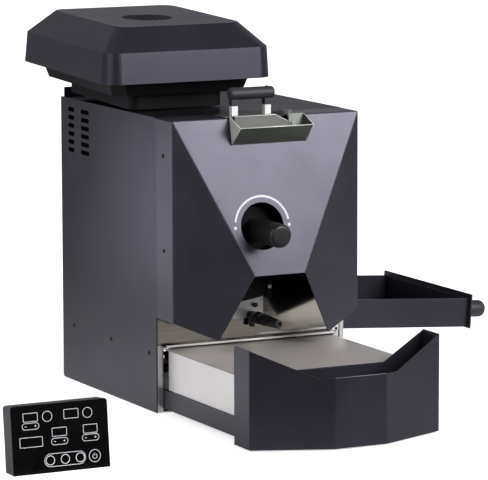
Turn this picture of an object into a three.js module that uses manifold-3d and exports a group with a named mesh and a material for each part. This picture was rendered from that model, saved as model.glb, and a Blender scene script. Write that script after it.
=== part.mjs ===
// Electric drum coffee roaster: a sheet metal cabinet with a faceted front mask, a
// cooling drawer and a chaff tray pulled out, a fan hood on top and a separate key pad.
// Millimetres, +Z up, the front looks along -Y. The origin lies on the floor below the
// middle of the seam between the cabinet and its front mask.
import * as THREE from 'three';
import { ConvexGeometry } from 'three/addons/geometries/ConvexGeometry.js';
import { mergeVertices } from 'three/addons/utils/BufferGeometryUtils.js';
import Module from 'manifold-3d';

const wasm = await Module();
wasm.setup();

// Shared by every sub-part.
const sheet = 1.5;
const clearance = 0.3;
const overrun = 3;
const fine = 48;
const coarse = 24;

// Driving sizes of the cabinet.
const cabinet = { width: 265, depth: 293, height: 382.6, cornerRadius: 5 };
const side = cabinet.width / 2;
const roof = cabinet.height;
const foot = { height: 3, radius: 12, inset: 24 };
const upstand = { height: 12.4, inset: 4.5 };
const vents = { rows: 6, pitch: 10.8, fromTop: 14.3, height: 6 };
vents.columns = [{ fromBack: 33, length: 20 }, { fromBack: 77, length: 26 }];

// The faceted mask in front of the cabinet.
const mask = { flange: 49.7, facetDepth: 38.2, centreHalf: 35.9, centreBottom: 184.9 };
mask.sideBottom = 126.5;
mask.tip = { half: 78.3, bottom: 102.8 };
const inlet = { left: -47.3, right: 31.3, drop: 27.1, back: -46 };
inlet.bottom = roof - inlet.drop;

// The polished plate behind the mask, with its folded lip and posts.
const plate = { bottom: 91, lipInset: 10, lipReach: 7, lipDrop: 4 };
plate.lipHalf = side - plate.lipInset;
const post = { width: 8 };

// The feed hopper on the mask and the flap that closes its mouth.
const hopper = { half: 52.5, rimOut: 80, toeOut: 57.8, wall: 1.2, rise: 1.9, rimDrop: 10.3 };
hopper.toeDrop = 33.1;
hopper.top = roof + hopper.rise;
hopper.rimHeight = roof - hopper.rimDrop;
hopper.toe = roof - hopper.toeDrop;
const divider = { left: 30.2, gap: 1.4, wall: 1.2, rise: 7, drop: 9, reach: 53 };
divider.frontTop = roof + divider.rise;
divider.frontBottom = roof - divider.drop;
const flap = { left: -58, leafLeft: -46, topRight: 11.5, right: 29.6, leafDrop: 25.6, back: -17 };
flap.cornerDrop = 7.6;
flap.leafBottom = roof - flap.leafDrop;
flap.cornerHeight = roof - flap.cornerDrop;
const legs = { left: -41.5, right: 5.4, width: 8.6, depth: 8 };
const flapGrip = { left: -48, length: 62.5, radius: 7.75, y: -40, rise: 29.4, screwRadius: 2.4 };
flapGrip.screwHeight = 0.8;
flapGrip.z = roof + flapGrip.rise;
const chute = { wall: 1.2, topDrop: 6.6, exitBottom: 278, exitTop: 297, run: 2.5 };
chute.top = roof - chute.topDrop;

// The damper knob with its boss behind the round hole of the mask.
const damper = { x: -19.2, z: 240, holeZ: 246.5, holeRadius: 30.25, shaftRadius: 4 };
damper.boss = { radius: 28.5, reach: 52 };
damper.knob = { radius: 15.2, end: 129, round: 5 };
damper.disc = { radius: 30, thickness: 2, y: 5 };

// The discharge door in the notch of the mask, its lever and catch.
const door = { left: -52, right: 18, bottom: 117, top: 192, back: 2.5, thickness: 2 };
door.opening = { margin: 5, bottom: 146 };
door.pivot = { y: -5, z: 195.4 };
door.pinRadius = 1.6;
door.barrelRadius = 2.8;
door.ear = { width: 4, gap: 1, reach: 8.5, height: 7 };
door.lever = { half: 4, thickness: 3, bottom: 104, top: 139 };
door.grip = { z: 120, radius: 8, neckRadius: 4.5, neckEnd: 24, end: 84, round: 2.5 };
door.catch = { left: 19.5, right: 27, reach: 12, bottom: 143, top: 170, pinRadius: 2.4, pinOut: 2 };

// The roasting drum, its drive and what heats it.
const bulkhead = { fromBack: 61.7, bottom: 146 };
bulkhead.y = cabinet.depth - bulkhead.fromBack;
const bearing = { radius: 18, thickness: 8 };
const housing = { radius: 94, bottom: 146 };
const drum = { z: 240, gap: 14.5, wall: 1.5, front: 4, endGap: 16.3, shaftRadius: 6 };
drum.radius = housing.radius - drum.gap;
drum.back = bulkhead.y - drum.endGap;
drum.hub = { radius: 20, thickness: 4 };
drum.vane = { count: 4, width: 22.5, front: 20, endGap: 10 };
drum.vane.inner = drum.radius - drum.vane.width;
drum.vane.back = drum.back - drum.vane.endGap;
drum.shaftInset = 31;
drum.shaftEnd = cabinet.depth - drum.shaftInset;
const pulley = { fromBulkhead: 12.7, width: 12, drumRadius: 30, motorRadius: 10 };
pulley.y = bulkhead.y + pulley.fromBulkhead;
const motor = { x: 60, z: 190, radius: 24, length: 29, shaftRadius: 4, reach: 6 };
const belt = { thickness: 1.5, width: 8 };
const heater = { radius: 4, z: 152, centres: [-45, 0, 45] };
const probe = { x: 35, z: 225, radius: 1.6, front: 8, back: 45, headRadius: 5, headLength: 6 };

// The duct behind the bulkhead, with its window, and the neck that carries the hood.
const duct = { left: -60, right: 8, fromBack: 15, overDrum: 64 };
duct.back = cabinet.depth - duct.fromBack;
duct.bottom = drum.z + duct.overDrum;
duct.window = { left: -40, right: 0, aboveFloor: 4, height: 13 };
const neck = { left: -60, right: 8, fromBulkhead: 8.7, fromBack: 15, flange: 5 };
neck.front = bulkhead.y + neck.fromBulkhead;
neck.back = cabinet.depth - neck.fromBack;

// The hood: a chamfered pan standing slightly tipped on the neck.
const hood = { overhang: 67.1, fromBack: 120.8, tip: 2.06, wall: 2 };
hood.x = hood.overhang - side;
hood.y = cabinet.depth - hood.fromBack;
hood.rims = [
  { height: 44.9, halfX: 118.7, halfY: 139.8, chamfer: 15 },
  { height: 84.5, halfX: 115.7, halfY: 136.8, chamfer: 11.3 },
  { height: 114.2, halfX: 87, halfY: 108.1, chamfer: 12.5 },
];
hood.skirt = { height: 26.3, topInset: 19.4, bottomInset: 25 };
const grille = { x: -7, y: -18, radius: 32.7, thickness: 1.5, rings: 3, slots: 12, recess: 0.5 };
grille.hubRadius = 6;
grille.slotWidth = 3;
const fan = { hubRadius: 10, radius: 30, bottom: 92, height: 12, blades: 7, bladeThickness: 1.2 };
fan.bladePitch = 35;
const fanMotor = { radius: 16, bottom: 66, armHeight: 4, armWidth: 6, postRadius: 3, postCircle: 42 };
fanMotor.shaftRadius = 3;

// The cooling drawer with its faceted front.
const drawer = { pulledOut: 222, flange: 40, facetDepth: 40, centreHalf: 35.6 };
Object.assign(drawer, { top: 124.8, bottom: 2, notchHalf: 55, notchHeight: 89.6 });
Object.assign(drawer, { plateNotchHalf: 75.8, plateNotchHeight: 88.1, closedOut: 9.7 });
Object.assign(drawer, { boxInset: 13, baseInset: 10.5 });
drawer.box = { half: side - drawer.boxInset, top: 85.3, bottom: 32.8, wall: 1.2, back: -9, deck: 1 };
drawer.deckBack = -1;
drawer.base = { half: side - drawer.baseInset, bottom: 7.8, wall: 4.5, back: 50 };
const runner = { inset: 12.5, width: 16, front: 6, fromBack: 25 };
runner.half = side - runner.inset;
runner.back = cabinet.depth - runner.fromBack;

// The chaff tray that slides out to the right, down a slight slope.
const tray = { tilt: 3.8, pulledOut: 206.5, endTop: 113, length: 235, front: 20, fromBack: 47 };
Object.assign(tray, { height: 38.5, wall: 1.2 });
tray.endX = side + tray.pulledOut;
tray.width = cabinet.depth - tray.fromBack - tray.front;
tray.plate = { thickness: 2, overhang: 7, rise: 6, drop: 1.5 };
tray.knob = { y: 48, drop: 18, length: 39, radius: 10.4, neckRadius: 7, tip: 9 };
tray.frame = { front: 1.5, fromBack: 37, bottom: 72, top: 139, reach: 6.4 };
tray.frame.back = cabinet.depth - tray.frame.fromBack;
tray.slotMargin = 0.7;
const guide = { width: 10, lip: 12 };

// What is fitted to the back panel.
const coolingFan = { size: 80, z: 47, depth: 20, bore: 37, hub: 14, blades: 5, spoke: 4 };
coolingFan.slotHeight = 5;
coolingFan.slotPitch = 10;
coolingFan.rotorDepth = 12;
coolingFan.tipGap = 1.5;
coolingFan.spokeHalf = 1;
const socket = { inset: 40.5, z: 40, width: 28, height: 20, depth: 22, rim: 5, proud: 2, recess: 12 };
socket.x = side - socket.inset;
const rocker = { x: socket.x, z: 64, width: 22, height: 13, depth: 20, proud: 3.5 };
const board = { inset: 10.5, width: 64, bottom: 190, top: 300, thickness: 1.6, standoff: 8 };
board.left = board.inset - side;
board.right = board.left + board.width;
board.postRadius = 3;
board.postInset = 8;
board.relay = { width: 18, depth: 14, height: 16 };

// The key pad that stands by itself beside the cabinet.
const pad = { left: -440, right: -315.2, height: 82.4, depth: 24, frontY: -257, lean: 6.4 };
pad.glass = 2;
pad.corner = 4;

const innerSide = side - sheet;
const underRoof = roof - sheet;
const innerBack = cabinet.depth - sheet;
const floor = foot.height + sheet;
const facetLean = mask.facetDepth / (roof - mask.centreBottom);
const facetRun = mask.facetDepth / (side - mask.centreHalf);

// Outline helpers.
function outline(points) {
  return new THREE.Shape(points.map(([a, b]) => new THREE.Vector2(a, b)));
}

function rounded(left, right, bottom, top, radius) {
  const shape = new THREE.Shape();
  shape.moveTo(left + radius, bottom);
  shape.absarc(right - radius, bottom + radius, radius, -Math.PI / 2, 0);
  shape.absarc(right - radius, top - radius, radius, 0, Math.PI / 2);
  shape.absarc(left + radius, top - radius, radius, Math.PI / 2, Math.PI);
  shape.absarc(left + radius, bottom + radius, radius, Math.PI, 1.5 * Math.PI);
  return shape;
}

function chamfered(halfX, halfY, chamfer) {
  const quarter = [[halfX, halfY - chamfer], [halfX - chamfer, halfY]];
  const mirrored = quarter.map(([x, y]) => [-x, y]).reverse();
  const upper = quarter.concat(mirrored);
  return upper.concat(upper.map(([x, y]) => [-x, -y]));
}

// Solid helpers. An along function runs an outline along that axis.
function extrude(shape, length, curveSegments) {
  return new THREE.ExtrudeGeometry(shape, { depth: length, bevelEnabled: false, curveSegments });
}

function alongX(shape, from, to, segments = 2) {
  const geometry = extrude(shape, to - from, segments);
  const turn = new THREE.Matrix4().set(0, 0, 1, from, 1, 0, 0, 0, 0, 1, 0, 0, 0, 0, 0, 1);
  return geometry.applyMatrix4(turn);
}

function alongY(shape, from, to, segments = 2) {
  const geometry = extrude(shape, to - from, segments);
  const turn = new THREE.Matrix4().set(1, 0, 0, 0, 0, 0, -1, to, 0, 1, 0, 0, 0, 0, 0, 1);
  return geometry.applyMatrix4(turn);
}

function alongZ(shape, from, to, segments = 2) {
  return extrude(shape, to - from, segments).translate(0, 0, from);
}

function block(x, y, z) {
  const geometry = new THREE.BoxGeometry(x[1] - x[0], y[1] - y[0], z[1] - z[0]);
  return geometry.translate((x[0] + x[1]) / 2, (y[0] + y[1]) / 2, (z[0] + z[1]) / 2);
}

function rodY(radius, x, z, from, to, sides = coarse) {
  const geometry = new THREE.CylinderGeometry(radius, radius, to - from, sides);
  return geometry.translate(x, (from + to) / 2, z);
}

function rodX(radius, y, z, from, to, sides = coarse) {
  const geometry = new THREE.CylinderGeometry(radius, radius, to - from, sides);
  return geometry.rotateZ(Math.PI / 2).translate((from + to) / 2, y, z);
}

function rodZ(radius, x, y, from, to, sides = coarse) {
  const geometry = new THREE.CylinderGeometry(radius, radius, to - from, sides);
  return geometry.rotateX(Math.PI / 2).translate(x, y, (from + to) / 2);
}

function turned(profile, sides = coarse) {
  return new THREE.LatheGeometry(profile.map(([r, h]) => new THREE.Vector2(r, h)), sides);
}

function solid(geometry) {
  const bare = geometry.clone();
  bare.deleteAttribute('normal');
  bare.deleteAttribute('uv');
  const merged = mergeVertices(bare);
  const vertProperties = new Float32Array(merged.attributes.position.array);
  const triVerts = new Uint32Array(merged.index.array);
  return new wasm.Manifold(new wasm.Mesh({ numProp: 3, vertProperties, triVerts }));
}

function surface(body) {
  const mesh = body.getMesh();
  const geometry = new THREE.BufferGeometry();
  geometry.setAttribute('position', new THREE.BufferAttribute(mesh.vertProperties, 3));
  geometry.setIndex(new THREE.BufferAttribute(mesh.triVerts, 1));
  return geometry;
}

function join(...pieces) {
  return surface(pieces.map(solid).reduce((whole, piece) => whole.add(piece)));
}

function cut(base, ...tools) {
  return surface(tools.map(solid).reduce((whole, tool) => whole.subtract(tool), solid(base)));
}

function common(base, ...others) {
  return surface(others.map(solid).reduce((whole, other) => whole.intersect(other), solid(base)));
}

// Finishes.
function finish(color, metalness, roughness) {
  return new THREE.MeshStandardMaterial({ color, metalness, roughness });
}

const finishes = {
  charcoal: finish(0x4a4a52, 0.3, 0.5),
  maskGrey: finish(0x5a5a66, 0.3, 0.45),
  black: finish(0x1b1b1e, 0.1, 0.5),
  polished: finish(0xd8d8d6, 1, 0.08),
  brushed: finish(0xbdbbb8, 1, 0.3),
  steel: finish(0x8c8c8c, 0.9, 0.4),
  grip: finish(0x36363a, 0, 0.45),
  rubber: finish(0x202020, 0, 0.8),
  plastic: finish(0x222224, 0, 0.4),
  glass: finish(0x08080a, 0, 0.08),
  board: finish(0x1f5a35, 0.1, 0.6),
};

const roaster = new THREE.Group();

function add(name, geometry, material, parent = roaster) {
  const mesh = new THREE.Mesh(geometry, material);
  mesh.name = name;
  parent.add(mesh);
  return mesh;
}

// Cabinet: feet, base with two upright posts, sides, top and back.
const footPlaces = {
  front_left: [foot.inset - side, foot.inset],
  front_right: [side - foot.inset, foot.inset],
  rear_left: [foot.inset - side, cabinet.depth - foot.inset],
  rear_right: [side - foot.inset, cabinet.depth - foot.inset],
};
for (const [place, [x, y]] of Object.entries(footPlaces)) {
  add('foot_' + place, rodZ(foot.radius, x, y, 0, foot.height), finishes.rubber);
}

const betweenSides = [-innerSide + clearance, innerSide - clearance];
const postLevels = [foot.height, plate.bottom - sheet - clearance];
add(
  'base_plate',
  join(
    block(betweenSides, [0, innerBack - clearance], [foot.height, floor]),
    block([betweenSides[0], betweenSides[0] + post.width], [0, sheet], postLevels),
    block([betweenSides[1] - post.width, betweenSides[1]], [0, sheet], postLevels),
  ),
  finishes.brushed,
);

function sidePanelOutline() {
  const { depth, cornerRadius } = cabinet;
  const shape = new THREE.Shape();
  const centre = [depth - cornerRadius, foot.height + cornerRadius];
  shape.absarc(...centre, cornerRadius, -Math.PI / 2, 0);
  shape.lineTo(depth, roof);
  shape.lineTo(0, roof);
  shape.lineTo(0, foot.height);
  return shape;
}

function ventSlots(from, to) {
  const slots = [];
  for (const { fromBack, length } of vents.columns) {
    const middle = cabinet.depth - fromBack;
    for (let row = 0; row < vents.rows; row += 1) {
      const z = roof - vents.fromTop - row * vents.pitch;
      const ends = [middle - length / 2, middle + length / 2];
      const levels = [z - vents.height / 2, z + vents.height / 2];
      const radius = vents.height / 2 - clearance;
      slots.push(alongX(rounded(...ends, ...levels, radius), from, to));
    }
  }
  return slots;
}

add(
  'side_panel_left',
  cut(alongX(sidePanelOutline(), -side, -innerSide), ...ventSlots(-side - overrun, overrun - side)),
  finishes.charcoal,
);

// The tray slides along the tilted direction of this frame, whose origin is the top of
// the tray's outer end.
const trayFrame = new THREE.Group();
trayFrame.position.set(tray.endX, 0, tray.endTop);
trayFrame.rotation.y = THREE.MathUtils.degToRad(tray.tilt);
trayFrame.updateMatrix();
roaster.add(trayFrame);
const slope = Math.tan(trayFrame.rotation.y);
const trayBack = tray.front + tray.width;

function trayTopAt(x) {
  return tray.endTop + (tray.endX - x) * slope;
}

function trayBottomAt(x) {
  return trayTopAt(x) - tray.height / Math.cos(trayFrame.rotation.y);
}

const slot = {
  y: [tray.front - tray.slotMargin, trayBack + tray.slotMargin],
  z: [trayBottomAt(side + tray.frame.reach) - tray.slotMargin, 0],
};
slot.z[1] = trayTopAt(innerSide) + tray.slotMargin;
add(
  'side_panel_right',
  cut(
    alongX(sidePanelOutline(), innerSide, side),
    ...ventSlots(side - overrun, side + overrun),
    block([side - overrun, side + overrun], slot.y, slot.z),
  ),
  finishes.charcoal,
);

const neckInside = {
  x: [neck.left + sheet, neck.right - sheet],
  y: [neck.front + sheet, neck.back - sheet],
};
add(
  'top_panel',
  cut(
    block(betweenSides, [0, innerBack - clearance], [underRoof, roof]),
    block(neckInside.x, neckInside.y, [underRoof - overrun, roof + overrun]),
  ),
  finishes.charcoal,
);

function coolingSlots() {
  const slots = [];
  const count = Math.floor((2 * coolingFan.bore) / coolingFan.slotPitch);
  for (let i = 0; i < count; i += 1) {
    const dz = (i - (count - 1) / 2) * coolingFan.slotPitch;
    const half = Math.sqrt(coolingFan.bore ** 2 - dz ** 2) - coolingFan.spoke;
    const levels = [-coolingFan.slotHeight / 2, coolingFan.slotHeight / 2];
    const z = levels.map((level) => coolingFan.z + dz + level);
    slots.push(block([-half, half], [innerBack - overrun, cabinet.depth + overrun], z));
  }
  return slots;
}

function opening(part) {
  const x = [part.x - part.width / 2 - clearance, part.x + part.width / 2 + clearance];
  const z = [part.z - part.height / 2 - clearance, part.z + part.height / 2 + clearance];
  return block(x, [innerBack - overrun, cabinet.depth + overrun], z);
}

const upstandHalf = side - upstand.inset;
add(
  'back_panel',
  cut(
    join(
      block(betweenSides, [innerBack, cabinet.depth], [foot.height, roof]),
      block([-upstandHalf, upstandHalf], [innerBack, cabinet.depth], [underRoof, roof + upstand.height]),
    ),
    ...coolingSlots(),
    opening(socket),
    opening(rocker),
  ),
  finishes.charcoal,
);

// Front plate of polished steel. Its lip ends in two short folds.
const doorHole = {
  x: [door.left + door.opening.margin, door.right - door.opening.margin],
  z: [door.opening.bottom, door.top - door.opening.margin],
};
const chuteOutside = [inlet.left - clearance - chute.wall, inlet.right + clearance + chute.wall];
const plateDepth = [-overrun, sheet + overrun];
const lipLevels = [plate.bottom - sheet, plate.bottom];
const lipHalf = [-plate.lipHalf, plate.lipHalf];
add(
  'front_plate',
  cut(
    join(
      block(betweenSides, [0, sheet], [plate.bottom - sheet, underRoof - clearance]),
      block(lipHalf, [-plate.lipReach, sheet], lipLevels),
      block(lipHalf, [-plate.lipReach, sheet - plate.lipReach], [plate.bottom - plate.lipDrop, plate.bottom]),
    ),
    block(doorHole.x, plateDepth, doorHole.z),
    block(
      [chuteOutside[0] - clearance, chuteOutside[1] + clearance],
      plateDepth,
      [chute.exitBottom - chute.wall - clearance, chute.exitTop + clearance],
    ),
    rodY(damper.shaftRadius + clearance, damper.x, damper.z, ...plateDepth),
    rodY(probe.radius + clearance, probe.x, probe.z, ...plateDepth),
  ),
  finishes.polished,
);

// Mask: two upright facets meet a leaning one, cut to a notch at the bottom.
function maskBody(inset) {
  const half = side - inset;
  const flange = mask.flange - inset;
  const slant = Math.hypot(1, facetRun) * inset;
  const nose = mask.flange + side * facetRun - slant;
  const sideFlange = nose - half * facetRun;
  const plan = outline([[-half, 0], [-half, -sideFlange], [0, -nose], [half, -sideFlange], [half, 0]]);
  const top = roof - inset;
  const topOut = flange + (facetLean * inset + inset - Math.hypot(1, facetLean) * inset);
  const bottomOut = topOut + facetLean * top;
  const profile = outline([[0, 0], [0, top], [-topOut, top], [-bottomOut, 0]]);
  return common(alongZ(plan, 0, top), alongX(profile, -side, side));
}

const maskFront = outline([
  [-side, roof],
  [-side, mask.sideBottom],
  [-mask.tip.half, mask.tip.bottom],
  [-mask.centreHalf, mask.centreBottom],
  [mask.centreHalf, mask.centreBottom],
  [mask.tip.half, mask.tip.bottom],
  [side, mask.sideBottom],
  [side, roof],
]);
const maskReach = mask.flange + side * facetRun;
const holeOut = mask.flange + (roof - damper.holeZ) * facetLean;
const knobHole = new THREE.CylinderGeometry(damper.holeRadius, damper.holeRadius, mask.flange, fine);
knobHole.rotateX(-Math.atan(facetLean)).translate(damper.x, -holeOut, damper.holeZ);
add(
  'front_mask',
  cut(
    common(maskBody(0), alongY(maskFront, -maskReach, -clearance)),
    maskBody(sheet),
    knobHole,
    block([inlet.left, inlet.right], [-maskReach, inlet.back], [inlet.bottom, roof + overrun]),
  ),
  finishes.maskGrey,
);

// Hopper: a small trough with a sloping front, whose mouth opens into the mask.
function facetAt(z) {
  return -mask.flange - (roof - z) * facetLean;
}

const rest = clearance * 2;
const troughSide = outline([
  [facetAt(roof) - rest, hopper.top],
  [-hopper.rimOut, hopper.rimHeight],
  [-hopper.toeOut, hopper.toe],
  [facetAt(hopper.toe) - rest, hopper.toe],
  [facetAt(roof) - rest, roof],
]);
const wallShift = hopper.wall * Math.SQRT2;
const troughInside = outline([
  [facetAt(roof) + overrun, hopper.top + overrun],
  [-hopper.rimOut - overrun, hopper.rimHeight + overrun + wallShift],
  [-hopper.rimOut, hopper.rimHeight + wallShift],
  [-hopper.toeOut, hopper.toe + wallShift],
  [facetAt(hopper.toe) + overrun, hopper.toe + wallShift],
]);
const troughBack = outline([
  [facetAt(roof) - rest, hopper.top],
  [facetAt(roof) - rest - hopper.wall, hopper.top],
  [facetAt(hopper.toe) - rest - hopper.wall, hopper.toe],
  [facetAt(hopper.toe) - rest, hopper.toe],
]);
const dividerRight = divider.left + 2 * divider.wall + divider.gap;
const hopperInner = hopper.half - hopper.wall;
add(
  'hopper',
  join(
    cut(
      alongX(troughSide, -hopper.half, hopper.half),
      alongX(troughInside, -hopperInner, hopperInner),
    ),
    alongX(troughBack, dividerRight + clearance, hopper.half),
  ),
  finishes.brushed,
);

const dividerSide = outline([
  [facetAt(divider.frontBottom) - clearance, divider.frontBottom],
  [facetAt(divider.frontBottom) - hopper.wall * 2, divider.frontBottom],
  [-divider.reach, divider.frontTop],
  [0, roof + hopper.wall],
  [0, roof + clearance],
  [facetAt(roof) - clearance, roof + clearance],
]);
const dividerGap = [divider.left + divider.wall, dividerRight - divider.wall];
add(
  'hopper_divider',
  cut(
    alongX(dividerSide, divider.left, dividerRight),
    block(dividerGap, [-divider.reach - overrun, overrun], [roof + hopper.wall, divider.frontTop + overrun]),
  ),
  finishes.brushed,
);

// Inlet chute: an open channel from the mouth down through the front plate.
const chuteTop = [facetAt(inlet.bottom) + sheet + clearance, inlet.bottom - clearance];
const chuteFloor = outline([
  chuteTop,
  [chute.run, chute.exitBottom],
  [chute.run, chute.exitBottom - chute.wall],
  [chuteTop[0], chuteTop[1] - 2 * chute.wall],
]);
const chuteWall = outline([
  [chuteTop[0], chuteTop[1] - 2 * chute.wall],
  [chute.run, chute.exitBottom - chute.wall],
  [chute.run, chute.exitTop],
  [-clearance, chute.exitTop],
  [facetAt(chute.top) + sheet + rest, chute.top],
  [chuteTop[0], chuteTop[1]],
]);
add(
  'inlet_chute',
  join(
    alongX(chuteFloor, ...chuteOutside),
    alongX(chuteWall, chuteOutside[0], chuteOutside[0] + chute.wall),
    alongX(chuteWall, chuteOutside[1] - chute.wall, chuteOutside[1]),
  ),
  finishes.steel,
);

// Feed flap: a bent sheet whose leaf hangs in the hopper and whose top carries the grip.
const leafFront = rest + sheet;
const flapSide = outline([
  [flap.back, roof + clearance],
  [facetAt(roof) - clearance, roof + clearance],
  [facetAt(flap.leafBottom) - clearance, flap.leafBottom],
  [facetAt(flap.leafBottom) - leafFront, flap.leafBottom],
  [facetAt(roof) - leafFront, roof + clearance + sheet],
  [flap.back, roof + clearance + sheet],
]);
const flapCorner = outline([
  [flap.topRight, roof + leafFront + overrun],
  [flap.topRight, roof + clearance + sheet],
  [flap.right + overrun, flap.cornerHeight],
  [flap.right + overrun, roof + leafFront + overrun],
]);
const flapDepth = [facetAt(flap.leafBottom) - leafFront - overrun, facetAt(roof) - clearance];
add(
  'feed_flap',
  cut(
    alongX(flapSide, flap.left, flap.right),
    alongY(flapCorner, flapDepth[0], 0),
    block([flap.left - overrun, flap.leafLeft], flapDepth, [flap.leafBottom - overrun, roof + leafFront]),
  ),
  finishes.polished,
);

const legBottom = roof + clearance + sheet;
const gripHole = rodX(
  flapGrip.radius + clearance,
  flapGrip.y,
  flapGrip.z,
  flapGrip.left - overrun,
  flapGrip.left + flapGrip.length + overrun,
);
function leg(centre) {
  const x = [centre - legs.width / 2, centre + legs.width / 2];
  const y = [flapGrip.y - legs.depth / 2, flapGrip.y + legs.depth / 2];
  return cut(block(x, y, [legBottom, flapGrip.z]), gripHole);
}
add('flap_leg_left', leg(legs.left), finishes.polished);
add('flap_leg_right', leg(legs.right), finishes.polished);
add(
  'flap_grip',
  join(
    rodX(flapGrip.radius, flapGrip.y, flapGrip.z, flapGrip.left, flapGrip.left + flapGrip.length),
    ...[legs.left, legs.right].map((centre) => rodZ(
      flapGrip.screwRadius,
      centre,
      flapGrip.y,
      flapGrip.z,
      flapGrip.z + flapGrip.radius + flapGrip.screwHeight,
      12,
    )),
  ),
  finishes.grip,
);

// Damper: knob, shaft and disc turn in a fixed boss.
const bossFace = -damper.boss.reach;
add(
  'damper_boss',
  cut(
    rodY(damper.boss.radius, damper.x, damper.z, bossFace, 0, fine),
    rodY(damper.shaftRadius + clearance, damper.x, damper.z, bossFace - overrun, overrun),
  ),
  finishes.black,
);
const knobStart = bossFace - clearance;
const { radius: knobRadius, end: knobEnd, round: knobRound } = damper.knob;
const knobProfile = [[0, knobStart], [knobRadius, knobStart]];
for (let i = 0; i <= 4; i += 1) {
  const angle = (i * Math.PI) / 8;
  knobProfile.push([
    knobRadius - knobRound * (1 - Math.cos(angle)),
    -knobEnd + knobRound * (1 - Math.sin(angle)),
  ]);
}
knobProfile.push([0, -knobEnd]);
add(
  'damper_knob',
  turned(knobProfile.reverse(), fine).translate(damper.x, 0, damper.z),
  finishes.grip,
);
const discBack = damper.disc.y + damper.disc.thickness;
add(
  'damper_disc',
  join(
    rodY(damper.shaftRadius, damper.x, damper.z, knobStart + clearance, discBack),
    rodY(damper.disc.radius, damper.x, damper.z, damper.disc.y, discBack),
  ),
  finishes.steel,
);

// Discharge door: a flap on a pin across its top, with a lever and a long grip.
const doorFront = -door.back - door.thickness;
const earGap = [door.left - door.ear.gap, door.right + door.ear.gap];
function ear(from, to) {
  const levels = [door.pivot.z - door.ear.height / 2, door.pivot.z + door.ear.height / 2];
  return block([from, to], [-door.ear.reach, 0], levels);
}
add(
  'door_hinge',
  join(
    ear(earGap[0] - door.ear.width, earGap[0]),
    ear(earGap[1], earGap[1] + door.ear.width),
    rodX(door.pinRadius, door.pivot.y, door.pivot.z, earGap[0] - overrun, earGap[1] + overrun, 12),
  ),
  finishes.steel,
);
const { left: doorLeft, right: doorRight } = door;
add(
  'discharge_door',
  cut(
    join(
      block([doorLeft, doorRight], [doorFront, -door.back], [door.bottom, door.pivot.z]),
      rodX(door.barrelRadius, door.pivot.y, door.pivot.z, doorLeft, doorRight),
    ),
    rodX(door.pinRadius + clearance, door.pivot.y, door.pivot.z, doorLeft - overrun, doorRight + overrun),
  ),
  finishes.steel,
);
const leverFront = doorFront - door.lever.thickness;
add(
  'door_lever',
  block(
    [-door.lever.half, door.lever.half],
    [leverFront, doorFront],
    [door.lever.bottom, door.lever.top],
  ),
  finishes.black,
);
const { grip: doorGrip } = door;
add(
  'door_grip',
  turned([
    [0, -doorGrip.end],
    [doorGrip.radius - doorGrip.round, -doorGrip.end],
    [doorGrip.radius, doorGrip.round - doorGrip.end],
    [doorGrip.radius, -doorGrip.neckEnd],
    [doorGrip.neckRadius, -doorGrip.neckEnd],
    [doorGrip.neckRadius, leverFront],
    [0, leverFront],
  ]).translate(0, 0, doorGrip.z),
  finishes.grip,
);
const { catch: doorCatch } = door;
const catchMiddle = (doorCatch.left + doorCatch.right) / 2;
const catchLevel = (doorCatch.bottom + doorCatch.top) / 2;
add(
  'door_catch',
  join(
    block(
      [doorCatch.left, doorCatch.right],
      [-doorCatch.reach, 0],
      [doorCatch.bottom, doorCatch.top],
    ),
    rodY(doorCatch.pinRadius, catchMiddle, catchLevel, -doorCatch.reach - doorCatch.pinOut, 0, 12),
  ),
  finishes.black,
);

// Drum with its vanes, and its shaft with hub and pulley.
const drumInner = drum.radius - drum.wall;
const vanes = [];
for (let i = 0; i < drum.vane.count; i += 1) {
  const vane = block(
    [-drum.wall / 2, drum.wall / 2],
    [drum.vane.front, drum.vane.back],
    [drum.vane.inner, drum.radius - drum.wall / 2],
  );
  vanes.push(vane.rotateY((i * 2 * Math.PI) / drum.vane.count));
}
const drumShell = turned([
  [drum.radius, drum.front],
  [drum.radius, drum.back],
  [drum.shaftRadius + clearance, drum.back],
  [drum.shaftRadius + clearance, drum.back - drum.wall],
  [drumInner, drum.back - drum.wall],
  [drumInner, drum.front],
  [drum.radius, drum.front],
], fine);
add('drum', join(drumShell, ...vanes).translate(0, 0, drum.z), finishes.steel);
const hubStart = drum.back + clearance;
const pulleyEnd = pulley.y + pulley.width;
add(
  'drum_shaft',
  join(
    rodY(drum.shaftRadius, 0, drum.z, drum.vane.back, drum.shaftEnd),
    rodY(drum.hub.radius, 0, drum.z, hubStart, hubStart + drum.hub.thickness),
    rodY(pulley.drumRadius, 0, drum.z, pulley.y, pulleyEnd, fine),
  ),
  finishes.steel,
);

// Housing and the bulkhead behind it with its bearing boss.
const bulkheadBack = bulkhead.y + sheet;
const shaftBore = rodY(
  drum.shaftRadius + clearance,
  0,
  drum.z,
  bulkhead.y - overrun,
  bulkheadBack + bearing.thickness + overrun,
);
const ductFront = bulkheadBack + clearance;
const windowBottom = duct.bottom + duct.window.aboveFloor;
const ductWindow = block(
  [duct.window.left, duct.window.right],
  [bulkhead.y - overrun, ductFront + overrun],
  [windowBottom, windowBottom + duct.window.height],
);
add(
  'rear_bulkhead',
  cut(
    join(
      block(betweenSides, [bulkhead.y, bulkheadBack], [bulkhead.bottom, underRoof - clearance]),
      rodY(bearing.radius, 0, drum.z, bulkheadBack, bulkheadBack + bearing.thickness),
    ),
    shaftBore,
    ductWindow,
  ),
  finishes.steel,
);

function archOutline(radius, bottom) {
  const shape = new THREE.Shape();
  shape.moveTo(-radius, bottom);
  shape.lineTo(radius, bottom);
  shape.absarc(0, drum.z, radius, 0, Math.PI);
  return shape;
}

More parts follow.
